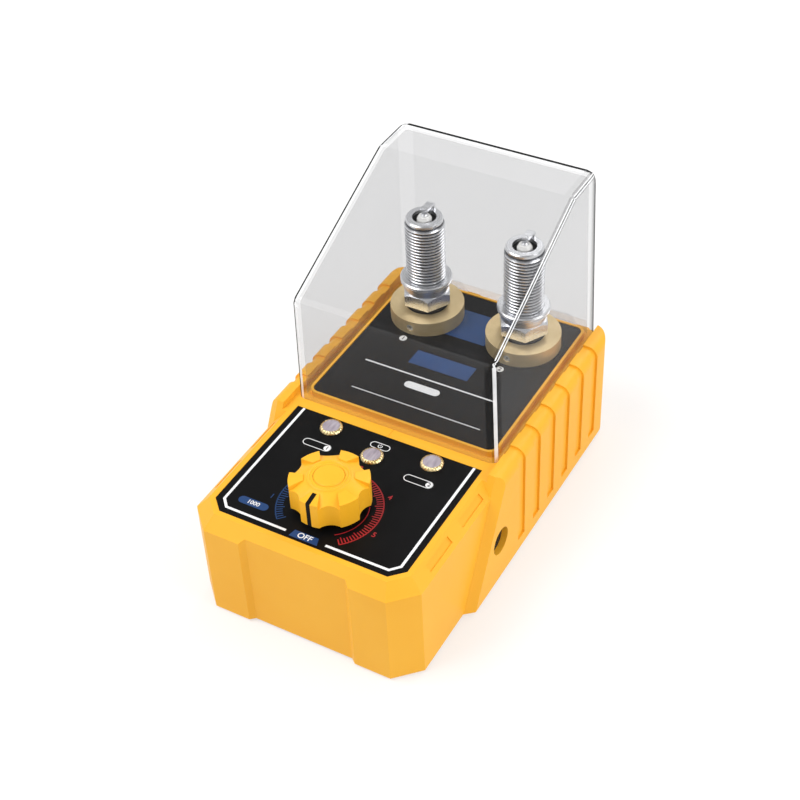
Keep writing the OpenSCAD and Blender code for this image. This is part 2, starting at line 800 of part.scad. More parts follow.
module knob() color(YELLOW) difference() {
    translate([0, knob_y, 0]) difference() {
        union() {
            knob_round(knob_slope);
            knob_ridges();
        }
        for (i = [0 : knob_lobes - 1]) rotate(-90 + (i + 0.5) * 360 / knob_lobes)
            translate([knob_r + flute_r - flute_depth, 0, 0]) post(2 * flute_r, knob_z - 1, hub_z + 1);
        post(nut_recess_d, knob_z - 1, nut_recess_top);
        post(shaft_d + 2 * seat_gap, knob_z, shaft_top + 0.2);
        post(knob_cap_d + 2 * panel_gap, hub_z - knob_cap_t, hub_z + 1);
    }
    pointer_line(pointer_depth, 0);
}

module knob_pointer() color("#111111") pointer_line(pointer_depth, seat_gap);

module knob_cap() color(YELLOW) translate([0, knob_y, 0]) rotate_extrude()
    polygon([[0, hub_z - knob_cap_t + seat_gap], [knob_cap_d / 2, hub_z - knob_cap_t + seat_gap],
        [knob_cap_d / 2, hub_z], [knob_cap_d / 2 - knob_cap_rise, hub_z + knob_cap_rise],
        [0, hub_z + knob_cap_rise]]);

module potentiometer_shaft() color(STEEL) translate([0, knob_y, 0])
    post(shaft_d, control_top + pot_wall + 0.3, shaft_top);

module potentiometer_wiper() color(BRASS) translate([0, knob_y, 0]) difference() {
    union() {
        post(shaft_d + 2.4, control_top + pot_wall + 1.2, control_top + pot_wall + 2.2);
        translate([-1, -pot_d / 2 + pot_wall + 0.6, control_top + pot_wall + 1.2])
            cube([2, pot_d / 2 - pot_wall - 0.6, 1]);
    }
    post(shaft_d + 2 * seat_gap, control_top, control_top + pot_h);
}

module potentiometer_track() color("#3a2a20") translate([0, knob_y, control_top + pot_wall]) difference() {
    post(pot_d - 2 * pot_wall - 0.4, 0, 0.9);
    post(shaft_d + 2, -1, 2);
}

module potentiometer_body() color("#8f9398") translate([0, knob_y, 0]) difference() {
    union() {
        post(pot_d, control_top, ceiling_z);
        post(bush_d, ceiling_z - eps, bush_top);
    }
    post(pot_d - 2 * pot_wall, control_top + pot_wall, ceiling_z - pot_wall);
    post(shaft_d + 2 * run_gap, control_top + pot_wall, bush_top + 1);
}

module potentiometer_washer() color(STEEL) translate([0, knob_y, 0]) difference() {
    post(11, overlay_z, overlay_z + washer_t);
    post(bush_d + 2 * seat_gap, overlay_z - 1, overlay_z + 2);
}

module potentiometer_nut() color(STEEL) translate([0, knob_y, 0]) difference() {
    hex_post(10, overlay_z + washer_t, overlay_z + washer_t + pot_nut_h);
    post(bush_d + 2 * seat_gap, overlay_z, overlay_z + 5);
}

// Indicators

// Flat lens with a slanting rim, on a stem through the overlay and the deck
module lens(place) color([0.86, 0.82, 0.86]) translate([place[0], place[1], 0]) rotate_extrude()
    polygon([[0, ceiling_z], [diode_d / 2, ceiling_z], [diode_d / 2, overlay_z], [lens_d / 2, overlay_z],
        [lens_d / 2, overlay_z + lens_h / 4], [lens_d / 2 - lens_bevel, overlay_z + lens_h],
        [0, overlay_z + lens_h]]);

module lens_left() lens(lens_places[0]);

module lens_right() lens(lens_places[1]);

module lens_power() lens(lens_places[2]);

module indicator_diodes() color("#e8e4da") at_lenses() {
    post(diode_d + 0.6, control_top, control_top + 1.2);
    post(diode_d, control_top, ceiling_z - 0.3);
}

// Boards and electrics

module control_board() color("#1f6b3a") difference() {
    translate([-control_board_w / 2, control_front, control_z])
        cube([control_board_w, control_rear - control_front, board_t]);
    at_control_bosses() post(board_screw_d + screw_play, control_z - 1, control_top + 1);
}

module control_board_screws() color(STEEL) at_control_bosses() {
    post(board_head_d, control_z - board_head_h, control_z);
    post(board_screw_d, control_z - eps, control_top + board_grip);
}

module main_board() color("#1f6b3a") difference() {
    translate([-board_half, board_front, board_z]) cube([2 * board_half, board_rear - board_front, board_t]);
    at_board_holes() post(board_screw_d + screw_play, board_z - 1, board_top + 1);
}

module main_board_screws() color(STEEL) at_board_holes() {
    post(board_head_d, board_top, board_top + board_head_h);
    post(board_screw_d, plate_z - 0.6, board_top + eps);
}

module ribbon_cable() color("#c9c9c9") {
    translate([-ribbon_w / 2, ribbon_y - ribbon_t / 2, board_top])
        cube([ribbon_w, ribbon_t, control_z - board_top]);
    for (z = [board_top, control_z - connector_t])
        translate([-connector_w / 2, ribbon_y - connector_t / 2, z])
            cube([connector_w, connector_t, connector_t]);
}

module filter_capacitors() color("#23305c") for (x = capacitor_x) translate([x, capacitor_y, 0]) {
    post(capacitor_d, board_top, board_top + capacitor_h);
    post(capacitor_d - 1, board_top + capacitor_h - eps, board_top + capacitor_h + 0.6);
}

module heat_sink() color("#a9acb0") translate([sink_x, sink_front, board_top]) {
    cube([sink_t, sink_len, sink_h]);
    for (i = [0 : fin_count - 1]) translate([-fin_len, i * fin_pitch, 0])
        cube([fin_len + eps, fin_t, sink_h]);
}

module switching_transistors() color("#262626") for (i = [0, 1])
    translate([sink_x + sink_t + panel_gap, sink_front + 0.5 + i * sink_len / 2, board_top]) {
        translate([0, 0, lead_h]) cube([transistor_t, transistor_w, transistor_h]);
        for (j = [0.15, 0.45, 0.75]) translate([transistor_t / 2, transistor_w * j, 0])
            cube([0.7, 0.8, lead_h + eps]);
    }

module inlet_body() color("#1a1a1a") difference() {
    union() {
        translate([inlet_face - inlet_body_len, inlet_y - inlet_body_w / 2, board_top])
            cube([inlet_body_len, inlet_body_w, inlet_z + inlet_body_w / 2 - board_top]);
        translate([inlet_face - eps, inlet_y, inlet_z]) rotate([0, 90, 0])
            cylinder(d = inlet_pocket_d - 0.6, h = inlet_collar + eps);
    }
    translate([inlet_face - inlet_body_len + 1.5, inlet_y, inlet_z]) rotate([0, 90, 0])
        cylinder(d = inlet_barrel_d, h = inlet_body_len + inlet_collar);
}

module inlet_pin() color(BRASS) translate([inlet_face - inlet_body_len + 1.5, inlet_y, inlet_z])
    rotate([0, 90, 0]) cylinder(d = inlet_pin_d, h = inlet_body_len - 3);

// Potted coil with a round terminal on its rear face
module ignition_coil(s) color("#2a2a30") difference() {
    union() {
        translate([s * socket_x - coil_w / 2, coil_front, board_top])
            cube([coil_w, coil_w, coil_h - 3]);
        translate([s * socket_x - coil_w / 2 + 2, coil_front + 2, board_top])
            cube([coil_w - 4, coil_w - 4, coil_h]);
    }
    translate([s * socket_x, coil_rear, link_z]) rotate([90, 0, 0])
        cylinder(d = link_d + 2 * seat_gap, h = 10, center = true);
}

// Straight rod from the coil through the well to the contact cup
module contact_link(s) color(BRASS) translate([s * socket_x, coil_rear - 4, link_z]) rotate([-90, 0, 0])
    cylinder(d = link_d, h = socket_y - cup_d / 2 - 0.05 - coil_rear + 4);

// Sockets

module socket(s) color(BRASS) translate([s * socket_x, socket_y, 0]) difference() {
    union() {
        post(flange_d, panel_z, panel_z + flange_h);
        post(barrel_d, barrel_foot, panel_z + eps);
    }
    post(socket_bore, seat_z, panel_z + flange_h + 1);
    post(tail_bore, barrel_foot - 1, seat_z + 1);
    translate([0, 0, panel_z + flange_h / 2]) rotate([90, 0, 0])
        cylinder(d = clamp_d + 2 * seat_gap, h = flange_d);
}

module clamp_screws() color(STEEL) at_sockets() translate([0, -flange_d / 2 + 0.3, panel_z + flange_h / 2])
    rotate([-90, 0, 0]) difference() {
        cylinder(d = clamp_d, h = clamp_len);
        translate([0, 0, -1]) cylinder(d = 1.3, h = 2.2, $fn = 6);
    }

module socket_nuts() color(BRASS) at_sockets() difference() {
    hex_post(socket_nut_af, ceiling_z - socket_nut_h, ceiling_z);
    post(barrel_d + 2 * seat_gap, ceiling_z - socket_nut_h - 1, ceiling_z + 1);
}

module insulating_well(s) color("#3b2f2a") translate([s * socket_x, socket_y, 0]) {
    well_top = ceiling_z - socket_nut_h - 0.3;
    difference() {
        post(well_d, well_z, well_top);
        post(tail_bore + 0.8, cup_z, well_top);
        post(barrel_d + 2 * panel_gap, barrel_foot - 0.3, well_top + 1);
        translate([0, 0, link_z]) rotate([90, 0, 0]) cylinder(d = link_d + 2 * seat_gap, h = well_d);
    }
}

module contact_cup(s) color(BRASS) translate([s * socket_x, socket_y, 0]) difference() {
    post(cup_d, cup_z, cup_top);
    post(2 * cup_in, spring_z, cup_top + 1);
}

module contact_plunger(s) color(BRASS) translate([s * socket_x, socket_y, 0]) rotate_extrude()
    polygon([[0, head_z - 1], [1.2, head_z - 1], [1.2, head_z], [plunger_d / 2, head_z],
        [plunger_d / 2, tip_z - 0.6], [plunger_d / 2 - 0.8, tip_z], [0, tip_z]]);

// Points of one ring of the spring wire, at an angle along the coil
function spring_ring(turn, lift, r) = [for (k = [0 : 5])
    let (a = k * 60, out = r + spring_wire / 2 * cos(a))
    [out * cos(turn), out * sin(turn), lift + spring_wire / 2 * sin(a)]];

module contact_spring(s) color(STEEL) {
    rings = spring_turns * 12;
    coil_r = plunger_d / 2 - spring_wire / 2 - 0.3;
    foot = spring_z + spring_wire / 2 + 0.05;
    climb = spring_len - spring_wire - 0.1;
    points = [for (i = [0 : rings]) each spring_ring(i * 30, foot + climb * i / rings, coil_r)];
    turn_gap = min([for (i = [0 : rings - 12]) norm(points[(i + 12) * 6] - points[i * 6])]) - spring_wire;
    echo(least_gap_between_spring_turns = turn_gap);
    sides = [for (i = [0 : rings - 1], k = [0 : 5]) let (a = i * 6 + k, b = i * 6 + (k + 1) % 6)
        each [[a, b, a + 6], [b, b + 6, a + 6]]];
    last = rings * 6;
    ends = [for (k = [1 : 4]) each [[0, k + 1, k], [last, last + k, last + k + 1]]];
    translate([s * socket_x, socket_y, 0]) polyhedron(points, concat(sides, ends));
}

// Spark plugs

// Half outline of the threaded part, from the seat up to the rim
function thread_outline(root_r, crest_r, count) = [for (i = [0 : count - 1])
    let (z = thread_z + gasket_t - 0.1 + i * thread_pitch)
    each [[root_r, z], [crest_r, z + thread_pitch * 0.4], [crest_r, z + thread_pitch * 0.6]]];

module plug_shell(s) color(STEEL) translate([s * socket_x, socket_y, 0]) {
    crest_r = thread_d / 2;
    root_r = crest_r - 0.6 * thread_pitch;
    count = floor((reach - gasket_t - 1.5) / thread_pitch);
    edge_r = hex_af / 2 + 0.3;
    difference() {
        union() {
            post(neck_d, shell_z, hex_z + eps);
            intersection() {
                hex_post(hex_af, hex_z, collar_z);
                translate([0, 0, hex_z]) cylinder(r1 = edge_r + hex_h, r2 = edge_r, h = hex_h);
            }
            post(collar_d, collar_z - eps, thread_z);
            rotate_extrude() polygon(concat([[0, thread_z - eps], [root_r, thread_z - eps]],
                thread_outline(root_r, crest_r, count),
                [[root_r, rim_z - 1.6], [crest_r - 0.5, rim_z - 1.4], [crest_r - 0.5, rim_z - 0.4],
                    [crest_r - 0.9, rim_z], [0, rim_z]]));
        }
        post(insulator_d + 2 * seat_gap, shell_z - 1, rim_z - nose_depth - 2);
        post(rim_bore, rim_z - nose_depth, rim_z + 1);
        post(6 + 2 * seat_gap, rim_z - nose_depth - 3, rim_z);
    }
    ground_strap();
}

// Bent strap that rises from the rear of the rim and reaches over the centre electrode
module ground_strap() {
    leg_y = (rim_bore / 2 + thread_d / 2 - 0.9) / 2;
    strap_t = 1;
    rise = 3;
    bend = 1.3;
    along_x(2.6) {
        translate([leg_y - strap_t / 2, rim_z - 0.5]) square([strap_t, rise - bend + 0.5 + eps]);
        translate([leg_y + strap_t / 2 - bend, rim_z + rise - bend]) difference() {
            intersection() {
                circle(bend);
                square(bend);
            }
            circle(bend - strap_t);
        }
        translate([0, rim_z + rise - strap_t]) square([leg_y + strap_t / 2 - bend + eps, strap_t]);
    }
}

// Folded ring with a groove round its middle
module plug_gasket(s) color("#c9cbd0") translate([s * socket_x, socket_y, thread_z]) rotate_extrude() {
    inner = thread_d / 2 + 0.1;
    outer = gasket_d / 2;
    edge = 0.2 * gasket_t;
    middle = gasket_t / 2;
    polygon([[inner, 0.02], [outer - edge, 0.02], [outer, edge], [outer, middle - edge / 2],
        [outer - edge, middle], [outer, middle + edge / 2], [outer, gasket_t - edge],
        [outer - edge, gasket_t], [inner, gasket_t]]);
}

// Glazed body with ribs, and a slim nose that ends just above the rim
module plug_insulator(s) color("#f2efe8") translate([s * socket_x, socket_y, 0]) {
    body_r = insulator_d / 2;
    rib_z = [for (i = [0 : 4]) terminal_top + 3.2 + i * 2];
    difference() {
        rotate_extrude() polygon(concat([[0, terminal_top - 3.6], [1.9, terminal_top - 3.6],
            [1.9, terminal_top], [body_r - 1, terminal_top + 0.02], [body_r - 0.4, terminal_top + 1.4]],
            [for (z = rib_z) each [[body_r - 0.5, z - 0.5], [body_r, z], [body_r - 0.5, z + 0.5]]],
            [[body_r, shell_z - 1], [body_r, rim_z - nose_depth - 2.4], [3, rim_z - nose_depth - 2],
                [3, rim_z - nose_depth], [2.6, rim_z - 0.6], [2, rim_z + 0.4], [0, rim_z + 0.4]]));
        post(2.4 + 2 * seat_gap, rim_z - 12, rim_z + 2);
    }
}

module plug_electrode(s) color("#9b9da2") translate([s * socket_x, socket_y, 0]) rotate_extrude()
    polygon([[0, rim_z - 12], [1.2, rim_z - 12], [1.2, rim_z + 0.8], [0.9, rim_z + 1.2], [0, rim_z + 1.2]]);

module plug_terminal(s) color(STEEL) translate([s * socket_x, socket_y, 0]) {
    r = terminal_d / 2;
    difference() {
        rotate_extrude() polygon([[0, tail_z], [r - 0.8, tail_z], [r, tail_z + 0.8], [r, tail_z + 3],
            [r - 0.8, tail_z + 3.6], [r - 0.8, tail_z + 4.6], [r, tail_z + 5.2], [r, terminal_top - 0.02],
            [0, terminal_top - 0.02]]);
        post(3.8 + 2 * seat_gap, terminal_top - 3.8, terminal_top + 1);
    }
}

upper_housing();
base_plate();
base_screws();
rubber_feet();
control_overlay();
socket_panel();
cover();
hinge_pins();
knob();
knob_pointer();
knob_cap();
potentiometer_shaft();
potentiometer_wiper();
potentiometer_track();
potentiometer_body();
potentiometer_washer();
potentiometer_nut();
lens_left();
lens_right();
lens_power();
indicator_diodes();
control_board();
control_board_screws();
main_board();
main_board_screws();
ribbon_cable();
filter_capacitors();
heat_sink();
switching_transistors();
inlet_body();
inlet_pin();
socket_nuts();
clamp_screws();
for (side = SIDES) {
    ignition_coil(side[1]);
    contact_link(side[1]);
    socket(side[1]);
    insulating_well(side[1]);
    contact_cup(side[1]);
    contact_plunger(side[1]);
    contact_spring(side[1]);
    plug_shell(side[1]);
    plug_gasket(side[1]);
    plug_insulator(side[1]);
    plug_electrode(side[1]);
    plug_terminal(side[1]);
}
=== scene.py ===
"""Spark plug tester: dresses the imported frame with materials, a clear cover, rounded edges and print."""
import json
import math

import bmesh
import bpy
from mathutils import Matrix, Vector

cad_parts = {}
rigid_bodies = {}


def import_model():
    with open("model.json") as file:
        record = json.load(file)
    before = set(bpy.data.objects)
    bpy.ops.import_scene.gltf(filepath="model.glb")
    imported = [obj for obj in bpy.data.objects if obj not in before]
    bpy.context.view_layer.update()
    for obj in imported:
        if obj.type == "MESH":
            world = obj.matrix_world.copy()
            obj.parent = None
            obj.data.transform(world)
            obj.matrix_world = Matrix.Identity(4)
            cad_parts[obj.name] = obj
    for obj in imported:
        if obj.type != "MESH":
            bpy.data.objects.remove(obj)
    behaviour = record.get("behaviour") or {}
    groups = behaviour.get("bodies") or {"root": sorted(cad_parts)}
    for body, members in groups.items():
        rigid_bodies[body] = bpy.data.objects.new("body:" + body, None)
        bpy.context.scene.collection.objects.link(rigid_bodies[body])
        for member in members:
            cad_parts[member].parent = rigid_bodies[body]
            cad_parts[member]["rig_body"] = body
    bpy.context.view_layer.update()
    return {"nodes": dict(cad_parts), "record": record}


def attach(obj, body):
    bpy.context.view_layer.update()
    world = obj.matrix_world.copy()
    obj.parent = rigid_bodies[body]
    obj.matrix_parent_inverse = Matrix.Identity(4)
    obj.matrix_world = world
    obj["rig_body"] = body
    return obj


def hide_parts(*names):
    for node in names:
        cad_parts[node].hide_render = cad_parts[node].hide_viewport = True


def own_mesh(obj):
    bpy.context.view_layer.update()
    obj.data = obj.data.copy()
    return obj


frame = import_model()

MM = 0.001

# Places and heights, in millimetres

SOCKET_X, SOCKET_Y = 19.0, 47.9
LENS_X, LENS_Y, POWER_LENS_Y = 19.0, -19.1, -25.0
KNOB_Y = -50.2
OVERLAY_Z, PANEL_Z = 40.9, 42.1


def point(x, y, z):
    """Place in the shared frame, from millimetres."""
    return Vector((x * MM, y * MM, z * MM))


def colour(red, green, blue):
    """Shader colour from screen values of 0 to 255."""
    parts = []
    for value in (red, green, blue):
        part = value / 255
        parts.append(part / 12.92 if part <= 0.04045 else ((part + 0.055) / 1.055) ** 2.4)
    return (*parts, 1.0)


# Materials

NOISE_LOW, NOISE_HIGH = 0.3, 0.7
TOOL_LINE_STRENGTH, TOOL_LINE_DETAIL, TOOL_LINE_ROUGHNESS = 0.35, 4.0, 0.65
METAL_SPOT = 6


def map_range(tree, start, end, low, high):
    """Node whose result runs from low to high as its value runs from start to end."""
    node = tree.nodes.new("ShaderNodeMapRange")
    node.inputs["From Min"].default_value = start
    node.inputs["From Max"].default_value = end
    node.inputs["To Min"].default_value = low
    node.inputs["To Max"].default_value = high
    return node


class Shading:
    """Principled material that is built node by node."""

    def __init__(self, name):
        self.material = bpy.data.materials.new(name)
        self.material.use_nodes = True
        self.tree = self.material.node_tree
        self.tree.nodes.clear()
        self.output = self.add("ShaderNodeOutputMaterial")
        self.shader = self.add("ShaderNodeBsdfPrincipled")
        self.join(self.shader, "BSDF", self.output, "Surface")
        self.place = self.add("ShaderNodeTexCoord")

    def add(self, kind, **values):
        """New node of a kind, with some of its settings."""
        node = self.tree.nodes.new(kind)
        for name, value in values.items():
            setattr(node, name, value)
        return node

    def join(self, source, source_name, target, target_name):
        """Link from an output of one node to an input of another."""
        self.tree.links.new(source.outputs[source_name], target.inputs[target_name])

    def set(self, **sockets):
        """Fixed inputs of the shader, named with underscores for spaces."""
        for name, value in sockets.items():
            self.shader.inputs[name.replace("_", " ")].default_value = value

    def stretched(self, scale):
        """Object coordinates, scaled on each axis."""
        node = self.add("ShaderNodeMapping")
        node.inputs["Scale"].default_value = scale
        self.join(self.place, "Object", node, "Vector")
        return node, "Vector"

    def about_axis(self, centre_x, centre_y):
        """Distance from an upright axis and height, with the left and right sides folded together."""
        split = self.add("ShaderNodeSeparateXYZ")
        self.join(self.place, "Object", split, "Vector")
        fold = self.add("ShaderNodeMath", operation="ABSOLUTE")
        self.join(split, "X", fold, 0)
        flat = self.add("ShaderNodeCombineXYZ")
        self.join(fold, 0, flat, "X")
        self.join(split, "Y", flat, "Y")
        reach = self.add("ShaderNodeVectorMath", operation="DISTANCE")
        reach.inputs[1].default_value = (centre_x * MM, centre_y * MM, 0)
        self.join(flat, "Vector", reach, 0)
        out = self.add("ShaderNodeCombineXYZ")
        self.join(reach, "Value", out, "X")
        self.join(split, "Z", out, "Y")
        return out, "Vector"

    def noise(self, size, coordinates, detail=3.0, roughness=0.55):
        """Noise whose spots are about size millimetres wide."""
        node = self.add("ShaderNodeTexNoise")
        node.inputs["Scale"].default_value = 1 / (size * MM)
        node.inputs["Detail"].default_value = detail
        node.inputs["Roughness"].default_value = roughness
        self.join(coordinates[0], coordinates[1], node, "Vector")
        return node

    def blend_colour(self, source, source_name, dark, light, low=NOISE_LOW, high=NOISE_HIGH):
        """Base colour that runs from dark to light as the source runs from low to high."""
        ramp = self.add("ShaderNodeValToRGB")
        ramp.color_ramp.elements[0].position = low
        ramp.color_ramp.elements[0].color = dark
        ramp.color_ramp.elements[1].position = high
        ramp.color_ramp.elements[1].color = light
        self.join(source, source_name, ramp, "Fac")
        self.join(ramp, "Color", self.shader, "Base Color")

    def spread(self, source, source_name, start, end, low=0.0, high=1.0):
        """Value that runs from low to high as the source runs from start to end."""
        span = map_range(self.tree, start, end, low, high)
        self.join(source, source_name, span, "Value")
        return span

    def vary(self, source, source_name, target, low, high):
        """Input of the shader that follows a noise from low to high."""
        span = self.spread(source, source_name, NOISE_LOW, NOISE_HIGH, low, high)
        self.join(span, "Result", self.shader, target)

    def relief(self, source, source_name, depth, strength=0.5):
        """Fine relief, with its depth in millimetres."""
        bump = self.add("ShaderNodeBump")
        bump.inputs["Strength"].default_value = strength
        bump.inputs["Distance"].default_value = depth * MM
        self.join(source, source_name, bump, "Height")
        self.join(bump, "Normal", self.shader, "Normal")


def moulded(name, dark, light, spot, grain, rough, depth, **sockets):
    """Moulded plastic, rubber or resin: slow drift of colour, fine grain in gloss and relief."""
    shading = Shading(name)
    whole = (shading.place, "Object")
    slow = shading.noise(spot, whole)
    fine = shading.noise(grain, whole, detail=2.0)
    shading.blend_colour(slow, "Fac", dark, light)
    shading.vary(fine, "Fac", "Roughness", *rough)
    shading.relief(fine, "Fac", depth)
    shading.set(**sockets)
    return shading.material


def metal(name, dark, light, rough, coordinates, line, depth, **sockets):
    """Bare metal with fine tool lines; coordinates gives their direction."""
    shading = Shading(name)
    if coordinates == "turned":
        base = shading.about_axis(SOCKET_X, SOCKET_Y)
    else:
        base = shading.stretched(coordinates)
    lines = shading.noise(line, base, TOOL_LINE_DETAIL, TOOL_LINE_ROUGHNESS)
    slow = shading.noise(METAL_SPOT, (shading.place, "Object"))
    shading.blend_colour(slow, "Fac", dark, light)
    shading.vary(lines, "Fac", "Roughness", *rough)
    shading.relief(lines, "Fac", depth, TOOL_LINE_STRENGTH)
    shading.set(**{"Metallic": 1.0, **sockets})
    return shading.material


# Painted shade: the thread's valleys and the neck under the hexagon are coloured dark where shade falls.
THREAD_VALLEY_R, THREAD_CREST_R = 6.42, 6.95
THREAD_FOOT_Z, THREAD_TOP_Z, THREAD_FADE = 60.4, 82.6, 0.6
NECK_TOP_Z, NECK_FADE = 49.3, 0.2
THREAD_LINE, THREAD_LINE_DEPTH = 0.18, 0.004


def threaded_steel(name, valley_shade, crest):
    """Plated steel of a plug, with painted shade in its thread's valleys and on the neck under its hexagon.
    """
    shading = Shading(name)
    base = shading.about_axis(SOCKET_X, SOCKET_Y)
    parts = shading.add("ShaderNodeSeparateXYZ")
    shading.join(base[0], base[1], parts, "Vector")
    # Painted shade in the thread's valleys; the crests keep the light colour.
    bright = shading.spread(parts, "X", THREAD_VALLEY_R * MM, THREAD_CREST_R * MM)
    below = shading.spread(parts, "Y", THREAD_FOOT_Z * MM, (THREAD_FOOT_Z - THREAD_FADE) * MM)
    above = shading.spread(parts, "Y", THREAD_TOP_Z * MM, (THREAD_TOP_Z + THREAD_FADE) * MM)
    for span in (below, above):
        most = shading.add("ShaderNodeMath", operation="MAXIMUM")
        shading.join(bright, 0, most, 0)
        shading.join(span, "Result", most, 1)
        bright = most
    # Painted shade on the neck under the hexagon, below this height.
    over_neck = shading.spread(parts, "Y", NECK_TOP_Z * MM, (NECK_TOP_Z + NECK_FADE) * MM)
    shade = shading.add("ShaderNodeMath", operation="MULTIPLY")
    shading.join(bright, 0, shade, 0)
    shading.join(over_neck, "Result", shade, 1)
    lines = shading.noise(THREAD_LINE, base, TOOL_LINE_DETAIL, TOOL_LINE_ROUGHNESS)
    shading.blend_colour(shade, 0, valley_shade, crest, 0.0, 1.0)
    shading.vary(lines, "Fac", "Roughness", 0.2, 0.34)
    shading.relief(lines, "Fac", THREAD_LINE_DEPTH, TOOL_LINE_STRENGTH)
    shading.set(Metallic=0.92)
    return shading.material


LIGHT_PASS = 0.97
COOL_SHIFT = 1.002
FACING_BLEND = 0.5
EDGE_SHEEN_POWER = 5
HAZE_DRIFT = 8


def clear_plastic(name, tint, haze, smear, edge_sheen=0.0, outline=None, haze_colour=(246, 246, 247)):
    """Clear sheet: an even grey tint under a haze of the colour haze_colour.

    The haze is partly the sheet's own milkiness and partly painted reflection. The tint is for the camera
    alone, and other light passes almost whole. The share edge_sheen, a painted reflection, is added where
    the sheet is seen edge on. An outline (near, far, edge_tint) is a painted dark outline: it darkens the
    tint as the surface turns away, between those two turns.
    """
    shading = Shading(name)
    slow = shading.noise(smear, (shading.place, "Object"), detail=4.0)
    through = shading.add("ShaderNodeBsdfTransparent")
    path = shading.add("ShaderNodeLightPath")
    passes = shading.add("ShaderNodeMix", data_type="RGBA")
    passes.inputs["A"].default_value = (LIGHT_PASS, LIGHT_PASS, LIGHT_PASS, 1)
    passes.inputs["B"].default_value = (tint, tint, tint * COOL_SHIFT, 1)
    shading.join(path, "Is Camera Ray", passes, "Factor")
    shading.join(passes, "Result", through, "Color")
    turn = shading.add("ShaderNodeLayerWeight")
    turn.inputs["Blend"].default_value = FACING_BLEND
    # Painted dark outline: the tint darkens as the surface turns away from view.
    if outline:
        near, far, edge_tint = outline
        span = shading.spread(turn, "Facing", near, far, tint, edge_tint)
        shading.join(span, "Result", passes, "B")
    # White haze, partly the sheet's own milkiness and partly painted reflection.
    shading.blend_colour(slow, "Fac", colour(*[level - HAZE_DRIFT for level in haze_colour]), colour(*haze_colour))
    shading.vary(slow, "Fac", "Roughness", 0.04, 0.09)
    shading.set(Specular_IOR_Level=0.2)
    # Painted reflection: more white haze where the sheet is seen edge on.
    steep = shading.add("ShaderNodeMath", operation="POWER")
    steep.inputs[1].default_value = EDGE_SHEEN_POWER
    shading.join(turn, "Facing", steep, 0)
    share = shading.add("ShaderNodeMath", operation="MULTIPLY_ADD")
    share.inputs[1].default_value = edge_sheen
    share.inputs[2].default_value = haze
    shading.join(steep, 0, share, 0)
    mix = shading.add("ShaderNodeMixShader")
    shading.join(share, 0, mix, "Fac")
    shading.join(through, "BSDF", mix, 1)
    shading.join(shading.shader, "BSDF", mix, 2)
    shading.join(mix, "Shader", shading.output, "Surface")
    return shading.material


def edge_highlight(name):
    """Painted highlight on rounded edges of clear plastic: milky white, a little see-through."""
    shading = Shading(name)
    slow = shading.noise(4, (shading.place, "Object"), detail=4.0)
    shading.blend_colour(slow, "Fac", colour(244, 246, 248), colour(252, 252, 252))
    shading.vary(slow, "Fac", "Roughness", 0.08, 0.2)
    shading.vary(slow, "Fac", "Alpha", 0.8, 0.94)
    return shading.material


BOARD_CELLS = 260


def circuit_board(name):
    """Green solder mask with paler tracks and pads under it."""
    shading = Shading(name)
    cells = shading.add("ShaderNodeTexVoronoi", feature="DISTANCE_TO_EDGE", distance="MANHATTAN")
    cells.inputs["Scale"].default_value = BOARD_CELLS
    shading.join(shading.place, "Object", cells, "Vector")
    shading.blend_colour(cells, "Distance", colour(62, 140, 84), colour(24, 88, 48), 0.04, 0.09)
    fine = shading.noise(0.6, (shading.place, "Object"))
    shading.vary(fine, "Fac", "Roughness", 0.3, 0.42)
    shading.relief(cells, "Distance", 0.03)
    return shading.material


